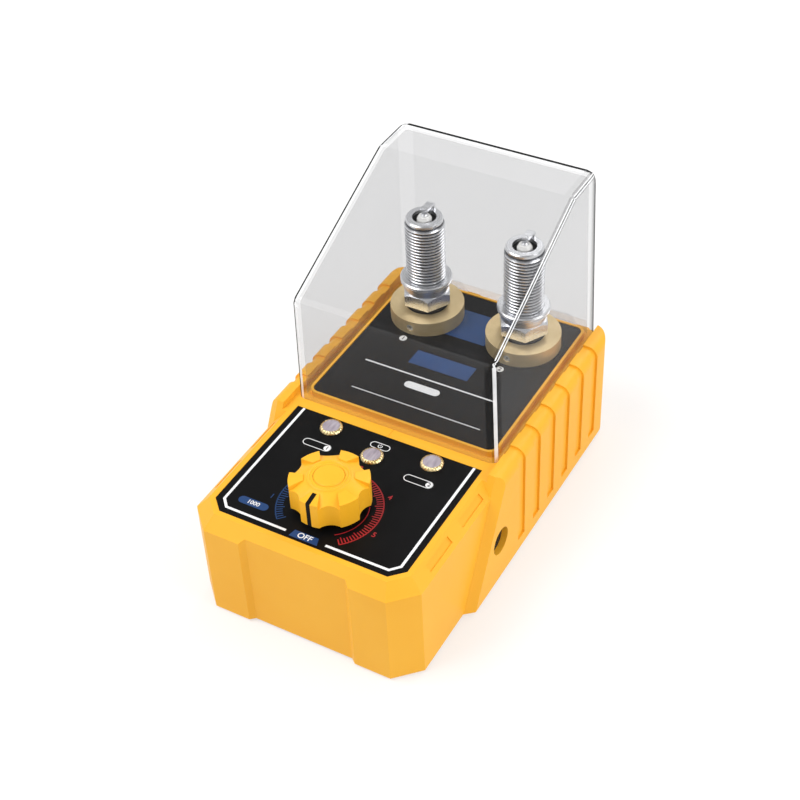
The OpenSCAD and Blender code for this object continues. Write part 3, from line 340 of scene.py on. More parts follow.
SKIN = {
    "housing_yellow": moulded("housing_yellow", colour(247, 178, 43), colour(250, 184, 50), 30, 0.35,
                              (0.36, 0.47), 0.012, Specular_IOR_Level=0.32),
    "knob_yellow": moulded("knob_yellow", colour(249, 182, 36), colour(252, 188, 44), 14, 0.3,
                           (0.34, 0.44), 0.008, Specular_IOR_Level=0.32),
    "base_black": moulded("base_black", colour(30, 30, 32), colour(38, 38, 40), 12, 0.4,
                          (0.5, 0.62), 0.015),
    "panel_black": moulded("panel_black", colour(11, 11, 12), colour(16, 16, 17), 18, 0.25, (0.36, 0.46),
                           0.003, Specular_IOR_Level=0.1),
    "pointer_black": moulded("pointer_black", colour(8, 8, 8), colour(13, 12, 12), 3, 0.2, (0.4, 0.5),
                             0.006, Specular_IOR_Level=0.15),
    "cover_clear": clear_plastic("cover_clear", 0.898, 0.008, 22, 0.2),
    "diode_resin": moulded("diode_resin", colour(226, 220, 210), colour(240, 236, 228), 3, 0.4, (0.12, 0.2),
                           0.004),
    "socket_brass": metal("socket_brass", colour(222, 198, 150), colour(236, 213, 166), (0.42, 0.56),
                          "turned", 0.22, 0.006, Metallic=0.72),
    "contact_brass": metal("contact_brass", colour(205, 170, 96), colour(222, 188, 112), (0.2, 0.34),
                           (1, 1, 12), 0.6, 0.004),
    "plug_steel": threaded_steel("plug_steel", colour(58, 59, 64), colour(232, 233, 236)),
    "screw_steel": metal("screw_steel", colour(196, 194, 186), colour(214, 211, 202), (0.38, 0.52),
                         (1, 1, 10), 0.5, 0.004, Metallic=0.6),
    "plug_ceramic": moulded("plug_ceramic", colour(244, 243, 240), colour(250, 249, 247), 5, 0.5,
                            (0.1, 0.2), 0.003, Coat_Weight=0.4),
    "foot_rubber": moulded("foot_rubber", colour(28, 28, 28), colour(38, 37, 36), 4, 0.25,
                           (0.7, 0.85), 0.02),
    "board_green": circuit_board("board_green"),
    "ribbon_grey": moulded("ribbon_grey", colour(176, 176, 178), colour(194, 194, 196), 1.3, 0.3,
                           (0.4, 0.5), 0.01),
    "capacitor_blue": moulded("capacitor_blue", colour(28, 40, 88), colour(38, 54, 108), 5, 0.3,
                              (0.22, 0.32), 0.004),
    "sink_aluminium": metal("sink_aluminium", colour(190, 192, 195), colour(206, 208, 211), (0.3, 0.45),
                            (1, 1, 14), 0.5, 0.006),
    "coil_resin": moulded("coil_resin", colour(26, 26, 29), colour(36, 36, 40), 6, 0.4,
                          (0.34, 0.48), 0.012),
    "well_resin": moulded("well_resin", colour(52, 42, 37), colour(66, 54, 48), 6, 0.4,
                          (0.4, 0.52), 0.012),
    "track_carbon": moulded("track_carbon", colour(26, 22, 20), colour(38, 32, 28), 2, 0.2, (0.5, 0.65),
                            0.006),
}


def lens_material():
    """Pale lilac lens: a smooth glossy face over a slow drift of colour."""
    shading = Shading("lens_clear")
    slow = shading.noise(2.6, shading.stretched((2.2, 0.5, 1)), detail=1.5)
    shading.blend_colour(slow, "Fac", colour(160, 148, 160), colour(196, 186, 196))
    fine = shading.noise(0.5, (shading.place, "Object"))
    shading.vary(fine, "Fac", "Roughness", 0.06, 0.12)
    shading.set(Transmission_Weight=0.15, IOR=1.5, Coat_Weight=0.7)
    return shading.material


SKIN["lens_clear"] = lens_material()
SKIN["lens_rim"] = metal("lens_rim", colour(204, 180, 124), colour(236, 216, 170), (0.2, 0.32), (1, 1, 1),
                         0.4, 0.003)
# Kinds of clear surface on the cover. The front and side walls carry more white haze as painted reflection;
# the grey and dark kinds are painted dark lines and outlines along its rounded edges; the foot band has a
# pale yellow haze, painted light from the yellow housing seen through it; the milky-white edge kind is a
# painted highlight.
COVER_EDGE = {
    "front": clear_plastic("cover_front", 0.898, 0.042, 22),
    "side": clear_plastic("cover_side", 0.898, 0.045, 22),
    "line": clear_plastic("cover_edge_line", 0.66, 0.01, 9),
    "shade_line": clear_plastic("cover_edge_seam", 0.36, 0.01, 9),
    "soft": clear_plastic("cover_edge_soft", 0.9, 0.01, 9, outline=(0.36, 0.62, 0.34)),
    "rim": clear_plastic("cover_edge_rim", 0.9, 0.01, 9, outline=(0.36, 0.6, 0.12)),
    "dark": clear_plastic("cover_edge_dark", 0.9, 0.01, 9, outline=(0.36, 0.58, 0.1)),
    "pale": clear_plastic("cover_pale", 0.95, 0.01, 22),
    "foot": clear_plastic("cover_foot", 0.95, 0.25, 9, haze_colour=(250, 226, 148)),
    "bright": edge_highlight("cover_edge_bright"),
}
INK_GRAIN, INK_GLOSS, INK_RELIEF = 0.2, (0.4, 0.5), 0.003
PRINT = {}
for ink_name, ink_dark, ink_light, ink_spot in (
        ("white", (236, 237, 238), (246, 246, 246), 6),
        ("blue", (9, 58, 112), (13, 66, 124), 8),
        ("red", (168, 24, 32), (188, 34, 42), 6),
        ("black", (14, 14, 15), (20, 20, 21), 6)):
    PRINT[ink_name] = moulded(f"print_{ink_name}", colour(*ink_dark), colour(*ink_light), ink_spot,
                              INK_GRAIN, INK_GLOSS, INK_RELIEF)

for part in frame["record"]["subparts"]:
    data = frame["nodes"][part["node"]].data
    data.materials.clear()
    data.materials.append(SKIN[part["material_slot"]])


# Pieces


def keep(name, mesh, body, material):
    """New piece from a mesh, riding on a body."""
    piece = bpy.data.objects.new(name, mesh)
    bpy.context.scene.collection.objects.link(piece)
    mesh.materials.clear()
    mesh.materials.append(material)
    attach(piece, body)
    return piece


def plain_mesh(name, bm):
    """Mesh from a bmesh, smooth-shaded and with no leftover attributes."""
    bm.verts.index_update()
    mesh = bpy.data.meshes.new(name)
    mesh.from_pydata([v.co[:] for v in bm.verts], [], [[v.index for v in f.verts] for f in bm.faces])
    mesh.update()
    mesh.shade_smooth()
    return mesh


def join_rings(bm, rings, closed):
    """Tube through rings of points, closed on itself or with a cap at each end."""
    for ring, after in zip(rings, rings[1:] + rings[:1] if closed else rings[1:]):
        for k in range(len(ring)):
            j = (k + 1) % len(ring)
            bm.faces.new((ring[k], after[k], after[j], ring[j]))
    if not closed:
        bm.faces.new(rings[0])
        bm.faces.new(rings[-1][::-1])


FLAT_TURN = 0.6


def rounded_copy(node, name, width, segments, least_turn, join=0.002):
    """Copy of a node with its sharp edges rounded by a width.

    Points closer than join merge first; width and join are in millimetres.
    """
    bm = bmesh.new()
    bm.from_mesh(frame["nodes"][node].data)
    bmesh.ops.remove_doubles(bm, verts=bm.verts, dist=join * MM)
    bmesh.ops.dissolve_limit(bm, angle_limit=math.radians(FLAT_TURN), verts=bm.verts, edges=bm.edges)
    mesh = plain_mesh(name, bm)
    bm.free()
    body = frame["nodes"][node]["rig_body"]
    slot = next(p["material_slot"] for p in frame["record"]["subparts"] if p["node"] == node)
    piece = keep(name, mesh, body, SKIN[slot])
    bevel = piece.modifiers.new("round_edges", "BEVEL")
    bevel.width = width * MM
    bevel.segments = segments
    bevel.limit_method = "ANGLE"
    bevel.angle_limit = math.radians(least_turn)
    bevel.harden_normals = True
    bevel.use_clamp_overlap = True
    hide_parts(node)


rounded_copy("upper_housing", "housing_moulding", 0.45, 3, 28)
rounded_copy("knob", "knob_moulding", 0.3, 3, 28, join=0.06)
rounded_copy("knob_cap", "knob_cap_moulding", 0.15, 2, 28)
for side in ("left", "right"):
    rounded_copy(f"socket_{side}", f"socket_turning_{side}", 0.3, 3, 40)


# Contact springs


def contact_spring(side, centre_x, wire=0.45 * MM, turns=3, steps=36, edges=10):
    """Coiled wire under a contact, as long as the solid it stands for."""
    node = f"contact_spring_{side}"
    spots = [v.co for v in frame["nodes"][node].data.vertices]
    centre = Vector((centre_x * MM, SOCKET_Y * MM))
    foot = min(spot.z for spot in spots)
    head = max(spot.z for spot in spots)
    coil = max((spot.xy - centre).length for spot in spots) - wire / 2
    bm = bmesh.new()
    rings = []
    for i in range(turns * steps + 1):
        turn = 2 * math.pi * i / steps
        lift = foot + wire / 2 + (head - foot - wire) * i / (turns * steps)
        ring = []
        for k in range(edges):
            roll = 2 * math.pi * k / edges
            out = coil + wire / 2 * math.cos(roll)
            z = lift + wire / 2 * math.sin(roll)
            ring.append(bm.verts.new((centre.x + out * math.cos(turn), centre.y + out * math.sin(turn), z)))
        rings.append(ring)
    join_rings(bm, rings, closed=False)
    bmesh.ops.recalc_face_normals(bm, faces=bm.faces)
    mesh = plain_mesh(f"spring_wire_{side}", bm)
    bm.free()
    piece = keep(f"spring_wire_{side}", mesh, "housing", SKIN["screw_steel"])
    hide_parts(node)
    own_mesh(piece)


contact_spring("left", -SOCKET_X)
contact_spring("right", SOCKET_X)


# Clear cover

COVER_FOOT, COVER_TOP = 39.95, 108.4
COVER_HALF, COVER_DRAFT = 38.2, 1.4
COVER_FRONT, COVER_REAR = -10.3, 67.9
COVER_WAIST, COVER_TOP_FRONT = 82.09, 48.344
COVER_WALL, COVER_ROUND = 2.2, 4.0
COVER_SEGMENTS, EDGE_FULLNESS = 14, 0.95
COVER_SHARP = 32
DRAFT_SPAN = 64.45
# Depth of the painted highlight along the top's rear edge, and height of the foot band with its painted
# yellow haze.
TOP_BAND, FOOT_BAND = 1.3, 3.5
LEVEL = 0.9999
HINGE_Y, HINGE_Z = 71.5, 33.4
KNUCKLE_X, KNUCKLE_LENGTH, KNUCKLE_R, PIN_BORE_R = 22, 12, 3.0, 1.05
KNUCKLE_BACK, KNUCKLE_FRONT_Y, KNUCKLE_OVERLAP = (73.9, 35.2), 68.3, 0.02
ARM_LOW, ARM_HIGH, ARM_DROP = 0.3, 4, 0.4
KNUCKLE_TURNS = range(36, -181, -18)
BORE_STEPS = 24


def cover_shell(inset, radius):
    """Form of the cover with an open foot, set in by an inset, with rounded edges."""
    slope = (COVER_TOP - COVER_WAIST) / (COVER_TOP_FRONT - COVER_FRONT)
    lift = inset * math.sqrt(1 + slope * slope)
    top = COVER_TOP - inset
    front = COVER_FRONT + inset
    waist = COVER_WAIST + slope * inset - lift
    top_front = COVER_FRONT + (top + lift - COVER_WAIST) / slope
    side_view = ((front, COVER_FOOT), (front, waist), (top_front, top), (None, top), (None, COVER_FOOT))
    corners = []
    for sign in (-1, 1):
        for y, z in side_view:
            draft = COVER_DRAFT * (z - COVER_FOOT) / DRAFT_SPAN
            x = COVER_HALF - inset - draft
            corners.append(point(sign * x, COVER_REAR - inset - draft if y is None else y, z))
    bm = bmesh.new()
    verts = [bm.verts.new(corner) for corner in corners]
    left, right = verts[:5], verts[5:]
    bm.faces.new(left)
    bm.faces.new(right[::-1])
    for i in range(4):
        bm.faces.new((left[i + 1], left[i], right[i], right[i + 1]))
    bmesh.ops.recalc_face_normals(bm, faces=bm.faces)
    weights = bm.edges.layers.float.new("bevel_weight_edge")
    for edge in bm.edges:
        if len(edge.link_faces) == 2:
            turn = edge.link_faces[0].normal.angle(edge.link_faces[1].normal)
            edge[weights] = math.tan(turn / 2) * EDGE_FULLNESS
    mesh = bpy.data.meshes.new("cover_form")
    bm.to_mesh(mesh)
    bm.free()
    form = bpy.data.objects.new("cover_form", mesh)
    bpy.context.scene.collection.objects.link(form)
    bevel = form.modifiers.new("round_edges", "BEVEL")
    bevel.width = radius * MM
    bevel.segments = COVER_SEGMENTS
    bevel.limit_method = "WEIGHT"
    bevel.use_clamp_overlap = False
    bpy.context.view_layer.update()
    shaped = bpy.data.meshes.new_from_object(form.evaluated_get(bpy.context.evaluated_depsgraph_get()))
    bpy.data.objects.remove(form)
    return shaped


def knuckle_outline():
    """Side view of a hinge knuckle with the arm that joins it to the cover's rear wall."""
    near = COVER_REAR - KNUCKLE_OVERLAP
    outline = [(near, COVER_FOOT + ARM_LOW), (near, COVER_FOOT + ARM_HIGH), KNUCKLE_BACK]
    for degrees in KNUCKLE_TURNS:
        turn = math.radians(degrees)
        outline.append((HINGE_Y + KNUCKLE_R * math.cos(turn), HINGE_Z + KNUCKLE_R * math.sin(turn)))
    outline += [(KNUCKLE_FRONT_Y, HINGE_Z + ARM_DROP), (KNUCKLE_FRONT_Y, COVER_FOOT + ARM_LOW)]
    bore = []
    for i in range(BORE_STEPS):
        turn = 2 * math.pi * i / BORE_STEPS
        bore.append((HINGE_Y + PIN_BORE_R * math.cos(turn), HINGE_Z + PIN_BORE_R * math.sin(turn)))
    return outline, bore


def add_knuckle(bm, centre_x):
    """Hinge knuckle about a centre, bored for its pin."""
    outline, bore = knuckle_outline()
    ends = []
    for x in (centre_x - KNUCKLE_LENGTH / 2, centre_x + KNUCKLE_LENGTH / 2):
        rims = [[bm.verts.new(point(x, y, z)) for y, z in ring] for ring in (outline, bore)]
        edges = []
        for rim in rims:
            edges += [bm.edges.new((rim[i], rim[(i + 1) % len(rim)])) for i in range(len(rim))]
        bmesh.ops.triangle_fill(bm, use_beauty=True, edges=edges)
        ends.append(rims)
    for first, second in zip(*ends):
        for i in range(len(first)):
            j = (i + 1) % len(first)
            bm.faces.new((first[i], first[j], second[j], second[i]))


NEIGHBOURS = [("front", "slant"), ("slant", "top"), ("top", "rear"), ("left", "rear"), ("right", "rear")]
NEIGHBOURS += [(wall, side) for wall in ("front", "slant", "top") for side in ("left", "right")]
WALL_TURN = 2
# Turns along a rounded edge where the painted dark outlines, painted highlights and painted dark lines lie.
OUTLINE_START = {"front": 0.36, "slant": 0.34, "top": 0.26}
HIGHLIGHT_START = 0.12
SHADE_LINE_SHARES, HIGHLIGHT_SHARES, LINE_SHARES = (0.5, 0.57), (0.43, 0.65), (0.3, 0.72)


def edge_share(face, planes):
    """The two neighbouring walls that a face lies between, and how far it has turned to the second."""
    for name, normal in planes.items():
        if face.normal.angle(normal) < math.radians(WALL_TURN):
            return name, name, 0.0
    best = None
    for first, second in NEIGHBOURS:
        near = face.normal.angle(planes[first])
        far = face.normal.angle(planes[second])
        detour = near + far - planes[first].angle(planes[second])
        if best is None or detour < best[0]:
            best = (detour, first, second, near / (near + far))
    return best[1:]


def edge_kind(first, second, share):
    """Kind of clear surface on a rounded edge: painted dark lines at the outline, painted highlight where
    light gathers.
    """
    if second == "left":
        if share > OUTLINE_START[first]:
            return "soft" if first == "front" else "rim"
        return "bright" if share > HIGHLIGHT_START else "plain"
    if second == "right":
        if first != "front" and SHADE_LINE_SHARES[0] < share < SHADE_LINE_SHARES[1]:
            return "shade_line"
        if HIGHLIGHT_SHARES[0] < share < HIGHLIGHT_SHARES[1]:
            return "bright"
        return "line" if LINE_SHARES[0] < share < LINE_SHARES[1] else "plain"
    if second == "rear" and first != "left":
        return "dark" if first == "top" else "soft"
    return "front" if first == "front" and share < 0.5 else "pale"


def edge_kinds(faces, band_y, foot_z):
    """Kind of clear surface for each face; the top has a painted highlight behind band_y, the foot band
    ends at foot_z.
    """
    slope = math.atan2(COVER_TOP - COVER_WAIST, COVER_TOP_FRONT - COVER_FRONT)
    lean = math.atan2(COVER_DRAFT, DRAFT_SPAN)
    planes = {
        "left": Vector((-math.cos(lean), 0, math.sin(lean))),
        "right": Vector((math.cos(lean), 0, math.sin(lean))),
        "front": Vector((0, -1, 0)),
        "slant": Vector((0, -math.sin(slope), math.cos(slope))),
        "top": Vector((0, 0, 1)),
        "rear": Vector((0, math.cos(lean), math.sin(lean))),
    }
    flat = {"front": "front", "right": "side", "top": "pale"}
    kinds = {}
    for face in faces:
        first, second, share = edge_share(face, planes)
        middle = face.calc_center_median()
        if first != second:
            kind = edge_kind(first, second, share)
        elif first == "top" and middle.y > band_y:
            kind = "bright"
        else:
            kind = flat.get(first, "plain")
        if middle.z < foot_z and kind in ("plain", "front", "side"):
            kind = "foot"
        kinds[face.index] = kind
    return kinds


def make_cover():
    """Clear cover with its hinge knuckles; each face of its outside has its kind of surface.

    Among the kinds are painted highlights and painted dark lines on its rounded edges.
    """
    bm = bmesh.new()
    bm.from_mesh(cover_shell(0, COVER_ROUND))
    bm.normal_update()
    flat_top = [f for f in bm.faces if f.normal.z > LEVEL]
    top_rear = max(v.co.y for f in flat_top for v in f.verts)
    band_y = top_rear - TOP_BAND * MM
    foot_z = (COVER_FOOT + FOOT_BAND) * MM
    for place, turn in (((0, band_y, 0), (0, 1, 0)), ((0, 0, foot_z), (0, 0, 1))):
        geometry = bm.verts[:] + bm.edges[:] + bm.faces[:]
        bmesh.ops.bisect_plane(bm, geom=geometry, plane_co=place, plane_no=turn)
    outer_faces = list(bm.faces)
    bm.faces.index_update()
    bm.normal_update()
    kinds = edge_kinds(outer_faces, band_y, foot_z)
    outer_rim = [e for e in bm.edges if e.is_boundary]
    bm.from_mesh(cover_shell(COVER_WALL, COVER_ROUND - COVER_WALL))
    inner_faces = list(bm.faces)[len(outer_faces):]
    inner_rim = [e for e in bm.edges if e.is_boundary and e not in set(outer_rim)]
    bmesh.ops.reverse_faces(bm, faces=inner_faces)
    bmesh.ops.bridge_loops(bm, edges=outer_rim + inner_rim)
    knuckles = bmesh.new()
    for centre_x in (-KNUCKLE_X, KNUCKLE_X):
        add_knuckle(knuckles, centre_x)
    bmesh.ops.recalc_face_normals(knuckles, faces=knuckles.faces)
    extra = plain_mesh("knuckles", knuckles)
    knuckles.free()
    bm.from_mesh(extra)
    mesh = plain_mesh("cover_clear", bm)
    bm.free()
    total = len(mesh.polygons)
    kinds.update({index: "pale" for index in range(total - len(extra.polygons), total)})
    mesh.set_sharp_from_angle(angle=math.radians(COVER_SHARP))
    piece = keep("cover_clear", mesh, "cover", SKIN["cover_clear"])
    order = ["plain", *COVER_EDGE]
    for kind in order[1:]:
        mesh.materials.append(COVER_EDGE[kind])
    for index, kind in kinds.items():
        mesh.polygons[index].material_index = order.index(kind)
    weighted = piece.modifiers.new("flat_faces", "WEIGHTED_NORMAL")
    weighted.keep_sharp = True
    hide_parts("cover")


make_cover()


# Ring round the knob's hub

LIP_PROFILE = [(5.9, 53.97), (6.15, 54.28), (6.5, 54.4), (6.85, 54.28), (7.1, 53.88)]
LIP_SHARP = 60


def hub_ring(steps=96):
    """Low rounded lip on the edge of the knob's flat hub; its profile gives radius and height."""
    bm = bmesh.new()
    rings = []
    for i in range(steps):
        turn = 2 * math.pi * i / steps
        rings.append([bm.verts.new(point(r * math.cos(turn), KNOB_Y + r * math.sin(turn), z))
                      for r, z in LIP_PROFILE])
    join_rings(bm, rings, closed=True)
    bmesh.ops.recalc_face_normals(bm, faces=bm.faces)
    mesh = plain_mesh("knob_hub_ring", bm)
    bm.free()
    mesh.set_sharp_from_angle(angle=math.radians(LIP_SHARP))
    keep("knob_hub_ring", mesh, "knob", SKIN["knob_yellow"])


hub_ring()


# Lens rims

RIM_PROFILE = [(2.95, 40.92), (2.95, 41.78), (3.05, 41.95), (3.2, 41.88), (3.74, 41.36), (3.92, 41.1),
               (3.92, 40.92)]
RIM_SHARP = 25
RIB_HEIGHT, RIB_STEPS = 0.16, 4
RAISED_STEPS, RAISED_POINTS = (1, 2), (2, 3, 4)


def lens_rim(name, centre_x, centre_y, ribs=24):
    """Ring with radial ribs round the bevel of an indicator lens; its profile gives radius and height."""
    bm = bmesh.new()
    rings = []
    for i in range(ribs * RIB_STEPS):
        turn = 2 * math.pi * i / (ribs * RIB_STEPS)
        lift = RIB_HEIGHT if i % RIB_STEPS in RAISED_STEPS else 0.0
        ring = []
        for k, (r, z) in enumerate(RIM_PROFILE):
            raised = lift if k in RAISED_POINTS else 0.0
            x = centre_x + r * math.cos(turn)
            y = centre_y + r * math.sin(turn)
            ring.append(bm.verts.new(point(x, y, z + raised)))
        rings.append(ring)
    join_rings(bm, rings, closed=True)
    bmesh.ops.recalc_face_normals(bm, faces=bm.faces)
    mesh = plain_mesh(name, bm)
    bm.free()
    mesh.set_sharp_from_angle(angle=math.radians(RIM_SHARP))
    keep(name, mesh, "housing", SKIN["lens_rim"])


lens_rim("lens_rim_left", -LENS_X, LENS_Y)
lens_rim("lens_rim_power", 0, POWER_LENS_Y)
lens_rim("lens_rim_right", LENS_X, LENS_Y)


# Print

INK_SUNK, INK_LAYER, INK_SHARP = 0.02, 0.03, 20
LETTER_FONT, LETTER_HALF = 1.42, 0.02
MITRE_LIMIT = 0.3
ARC_STEP, DISC_STEP = 4, 10
LENS_MARK_Y, LENS_MARK_SHIFT = -28.3, 3.9
LENS_MARKS = (("1", (LENS_MARK_SHIFT - LENS_X, LENS_MARK_Y)),
              ("2", (LENS_MARK_SHIFT + LENS_X, LENS_MARK_Y)))
SOCKET_MARKS = (("1", (-20, 31.6)), ("2", (18, 31.6)))
SCALE_CENTRE = (-0.45, KNOB_Y - 0.55)
SCALE_START, SCALE_SPLIT, SCALE_END, SCALE_TICKS = 226, 90, -49, 77
TICK_OUTER, TICK_INNER, LONG_TICK_INNER, LONG_TICK_EVERY, TICK_WIDTH = 17.2, 14.8, 14.2, 5, 0.34
SCALE_ARC_R, SCALE_ARC_GAP, SCALE_ARC_WIDTH = 17.1, 2, 0.4
INNER_ARC_R, INNER_ARC_START, INNER_ARC_END, INNER_ARC_WIDTH = 12.7, 25, -52, 0.3
DIGIT_R, DIGIT_START, DIGIT_STEP, DIGIT_SIZE, DIGIT_BOLD = 19.2, 193.4, 51.7, 2.0, 0.01
BORDER_WIDTH, MARK_WIDTH, SYMBOL_WIDTH = 0.9, 0.25, 0.22


def on_circle(centre, radius, turn):
    """Point at a distance from a centre, turned by degrees from the right."""
    t = math.radians(turn)
    return centre[0] + radius * math.cos(t), centre[1] + radius * math.sin(t)


class Print:
    """Thin layer of one ink, gathered into one mesh."""

    def __init__(self, name, ink, height):
        self.name, self.ink, self.height = name, ink, height
        self.bm = bmesh.new()

    def plate(self, outline):
        """Closed thin plate over an outline in millimetres."""
        low = self.height - INK_SUNK
        high = self.height + INK_LAYER
        under = [self.bm.verts.new(point(x, y, low)) for x, y in outline]
        over = [self.bm.verts.new(point(x, y, high)) for x, y in outline]
        self.bm.faces.new(under[::-1])
        self.bm.faces.new(over)
        for i in range(len(outline)):
            j = (i + 1) % len(outline)
            self.bm.faces.new((under[i], under[j], over[j], over[i]))

    def strip(self, rows, closed):
        """Closed thin strip through pairs of points on its two edges."""
        low = self.height - INK_SUNK
        high = self.height + INK_LAYER
        rings = []
        for left, right in rows:
            corners = ((left, low), (right, low), (right, high), (left, high))
            rings.append([self.bm.verts.new(point(x, y, z)) for (x, y), z in corners])
        join_rings(self.bm, rings, closed)

    def line(self, points, width, closed=False):
        """Stroke of even width along points, mitred at its corners."""
        count = len(points)
        rows = []
        for i, (x, y) in enumerate(points):
            before = points[i - 1] if i or closed else None
            after = points[(i + 1) % count] if i < count - 1 or closed else None
            normals = []
            for a, b in ((before, (x, y)), ((x, y), after)):
                if a is not None and b is not None:
                    along = Vector((b[0] - a[0], b[1] - a[1])).normalized()
                    normals.append(Vector((-along.y, along.x)))
            side = sum(normals, Vector((0, 0))).normalized()
            reach = width / 2 / max(MITRE_LIMIT, side.dot(normals[0]))
            out = side * reach
            rows.append(((x + out.x, y + out.y), (x - out.x, y - out.y)))
        self.strip(rows, closed)

    def arc(self, centre, radius, start, end, width):
        """Stroke along part of a circle, from one turn to another in degrees."""
        count = max(3, int(abs(end - start) / ARC_STEP) + 1)
        turns = [start + (end - start) * i / (count - 1) for i in range(count)]
        self.line([on_circle(centre, radius, turn) for turn in turns], width)

    def disc(self, centre, radius):
        """Round plate."""
        self.plate([on_circle(centre, radius, turn) for turn in range(0, 360, DISC_STEP)])

    def text(self, words, centre, size, layer=0, bold=0.02):
        """Letters or digits set about a centre; layer lifts them over other ink.

        Their height is size, in millimetres, and bold is the share of it by which their outlines grow.
        """
        curve = bpy.data.curves.new("letters", "FONT")
        curve.body = words
        curve.align_x = "CENTER"
        curve.align_y = "CENTER"
        curve.size = size * LETTER_FONT * MM
        curve.extrude = LETTER_HALF * MM
        curve.offset = bold * size * MM
        letters = bpy.data.objects.new("letters", curve)
        bpy.context.scene.collection.objects.link(letters)
        bpy.context.view_layer.update()
        shaped = letters.evaluated_get(bpy.context.evaluated_depsgraph_get())
        mesh = bpy.data.meshes.new_from_object(shaped)
        middle = self.height + LETTER_HALF + INK_LAYER * layer
        mesh.transform(Matrix.Translation(point(centre[0], centre[1], middle)))
        self.bm.from_mesh(mesh)
        bpy.data.objects.remove(letters)
        bpy.data.curves.remove(curve)
        bpy.data.meshes.remove(mesh)

    def finish(self):
        """One piece on the housing from all that was printed in this ink."""
        bmesh.ops.recalc_face_normals(self.bm, faces=self.bm.faces)
        mesh = plain_mesh(self.name, self.bm)
        mesh.set_sharp_from_angle(angle=math.radians(INK_SHARP))
        self.bm.free()
        keep(self.name, mesh, "housing", PRINT[self.ink])


def pill(centre, length, height, corners=8):
    """Outline of a bar with round ends."""
    radius = height / 2
    reach = length / 2 - radius
    outline = []
    for sign, start in ((1, -90), (-1, 90)):
        end = (centre[0] + sign * reach, centre[1])
        outline += [on_circle(end, radius, start + 180 * i / corners) for i in range(corners + 1)]
    return outline


def print_overlay():
    """Border, dial scale, OFF mark, a number and the marks by the lenses."""
    white = Print("overlay_print_white", "white", OVERLAY_Z)
    blue = Print("overlay_print_blue", "blue", OVERLAY_Z)
    red = Print("overlay_print_red", "red", OVERLAY_Z)
    border = [(32.2, -14.8), (32.2, -62.9), (29.5, -65.8), (7.2, -65.9)]
    for sign in (-1, 1):
        white.line([(sign * x, y) for x, y in border], BORDER_WIDTH)
    blue.plate([(-5.3, -67.3), (4.9, -67.3), (3.9, -64.4), (-4.7, -64.4)])
    white.text("OFF", (-0.3, -65.85), 2.1, layer=1)
    blue.plate(pill((-22.7, -60.6), 10.9, 3.0))
    white.text("1000", (-22.7, -60.6), 1.6, layer=1)
    centre = SCALE_CENTRE
    for i in range(SCALE_TICKS):
        turn = SCALE_START - i * (SCALE_START - SCALE_END) / (SCALE_TICKS - 1)
        ink = blue if turn > SCALE_SPLIT else red
        inner = TICK_INNER if i % LONG_TICK_EVERY else LONG_TICK_INNER
        ink.line([on_circle(centre, inner, turn), on_circle(centre, TICK_OUTER, turn)], TICK_WIDTH)
    blue.arc(centre, SCALE_ARC_R, SCALE_START, SCALE_SPLIT + SCALE_ARC_GAP, SCALE_ARC_WIDTH)
    red.arc(centre, SCALE_ARC_R, SCALE_SPLIT - SCALE_ARC_GAP, SCALE_END, SCALE_ARC_WIDTH)
    red.arc(centre, INNER_ARC_R, INNER_ARC_START, INNER_ARC_END, INNER_ARC_WIDTH)
    for i, digit in enumerate("12345"):
        ink = blue if i < 2 else red
        place = on_circle(centre, DIGIT_R, DIGIT_START - i * DIGIT_STEP)
        ink.text(digit, place, DIGIT_SIZE, bold=DIGIT_BOLD)
    for x in (-LENS_X, LENS_X):
        white.line(pill((x, LENS_MARK_Y), 10.2, 2.9), MARK_WIDTH, closed=True)
        white.disc((x + LENS_MARK_SHIFT, LENS_MARK_Y), 1.2)
    white.line(pill((0, -19.6), 7.0, 2.6), MARK_WIDTH, closed=True)
    white.arc((0, -19.6), 0.7, 130, 410, SYMBOL_WIDTH)
    white.line([(0, -19.5), (0, -18.7)], SYMBOL_WIDTH)
    for layer in (white, blue, red):
        layer.finish()


def print_panel():
    """Blue fields, plain rules and a pill on the socket panel, with a white disc before each socket."""
    white = Print("panel_print_white", "white", PANEL_Z)
    blue = Print("panel_print_blue", "blue", PANEL_Z)
    blue.plate([(-8.5, 40.3), (7.5, 40.3), (7.5, 55.7), (-8.5, 55.7)])
    blue.plate([(-12, 20.9), (10.8, 20.9), (10.8, 28.2), (-12, 28.2)])
    for _, place in SOCKET_MARKS:
        white.disc(place, 1.4)
    white.line([(-26, 15.6), (24.2, 15.6)], 0.6)
    white.plate(pill((-1, 10.7), 13.4, 3.2))
    white.line([(-23, 1.1), (26, 1.1)], 0.35)
    white.finish()
    blue.finish()


def print_numbers(name, marks, height, size):
    """Black digits on the white discs."""
    ink = Print(name, "black", height + INK_LAYER)
    for digit, place in marks:
        ink.text(digit, place, size)
    ink.finish()


print_overlay()
print_panel()
print_numbers("panel_print_numbers", SOCKET_MARKS, PANEL_Z, 1.8)
print_numbers("overlay_print_numbers", LENS_MARKS, OVERLAY_Z, 1.5)


# Floor, light and camera

# The floor's lengths are in metres, the camera's place in millimetres and its turns in degrees.
FLOOR_HALF, FLOOR_GREY, FLOOR_GLOW = 3.0, 0.45, 0.36
FLOOR_NEAR, FLOOR_FAR = 0.3, 1.2
SEEN_GLOW_NEAR, SEEN_GLOW_FAR = 0.18, 0.42
SURROUND_LIGHT = 0.55
GLOSS_LOW_Z, GLOSS_HIGH_Z, GLOSS_LOW, GLOSS_HIGH = 0.1, 0.75, 1.0, 0.38
CAMERA_PLACE = (201.53, -336.96, 389.65)
CAMERA_TURN, CAMERA_RISE, CAMERA_ROLL = 31.31, 41.20, -3.02
CAMERA_LENS, CAMERA_SENSOR = 70.5, 36


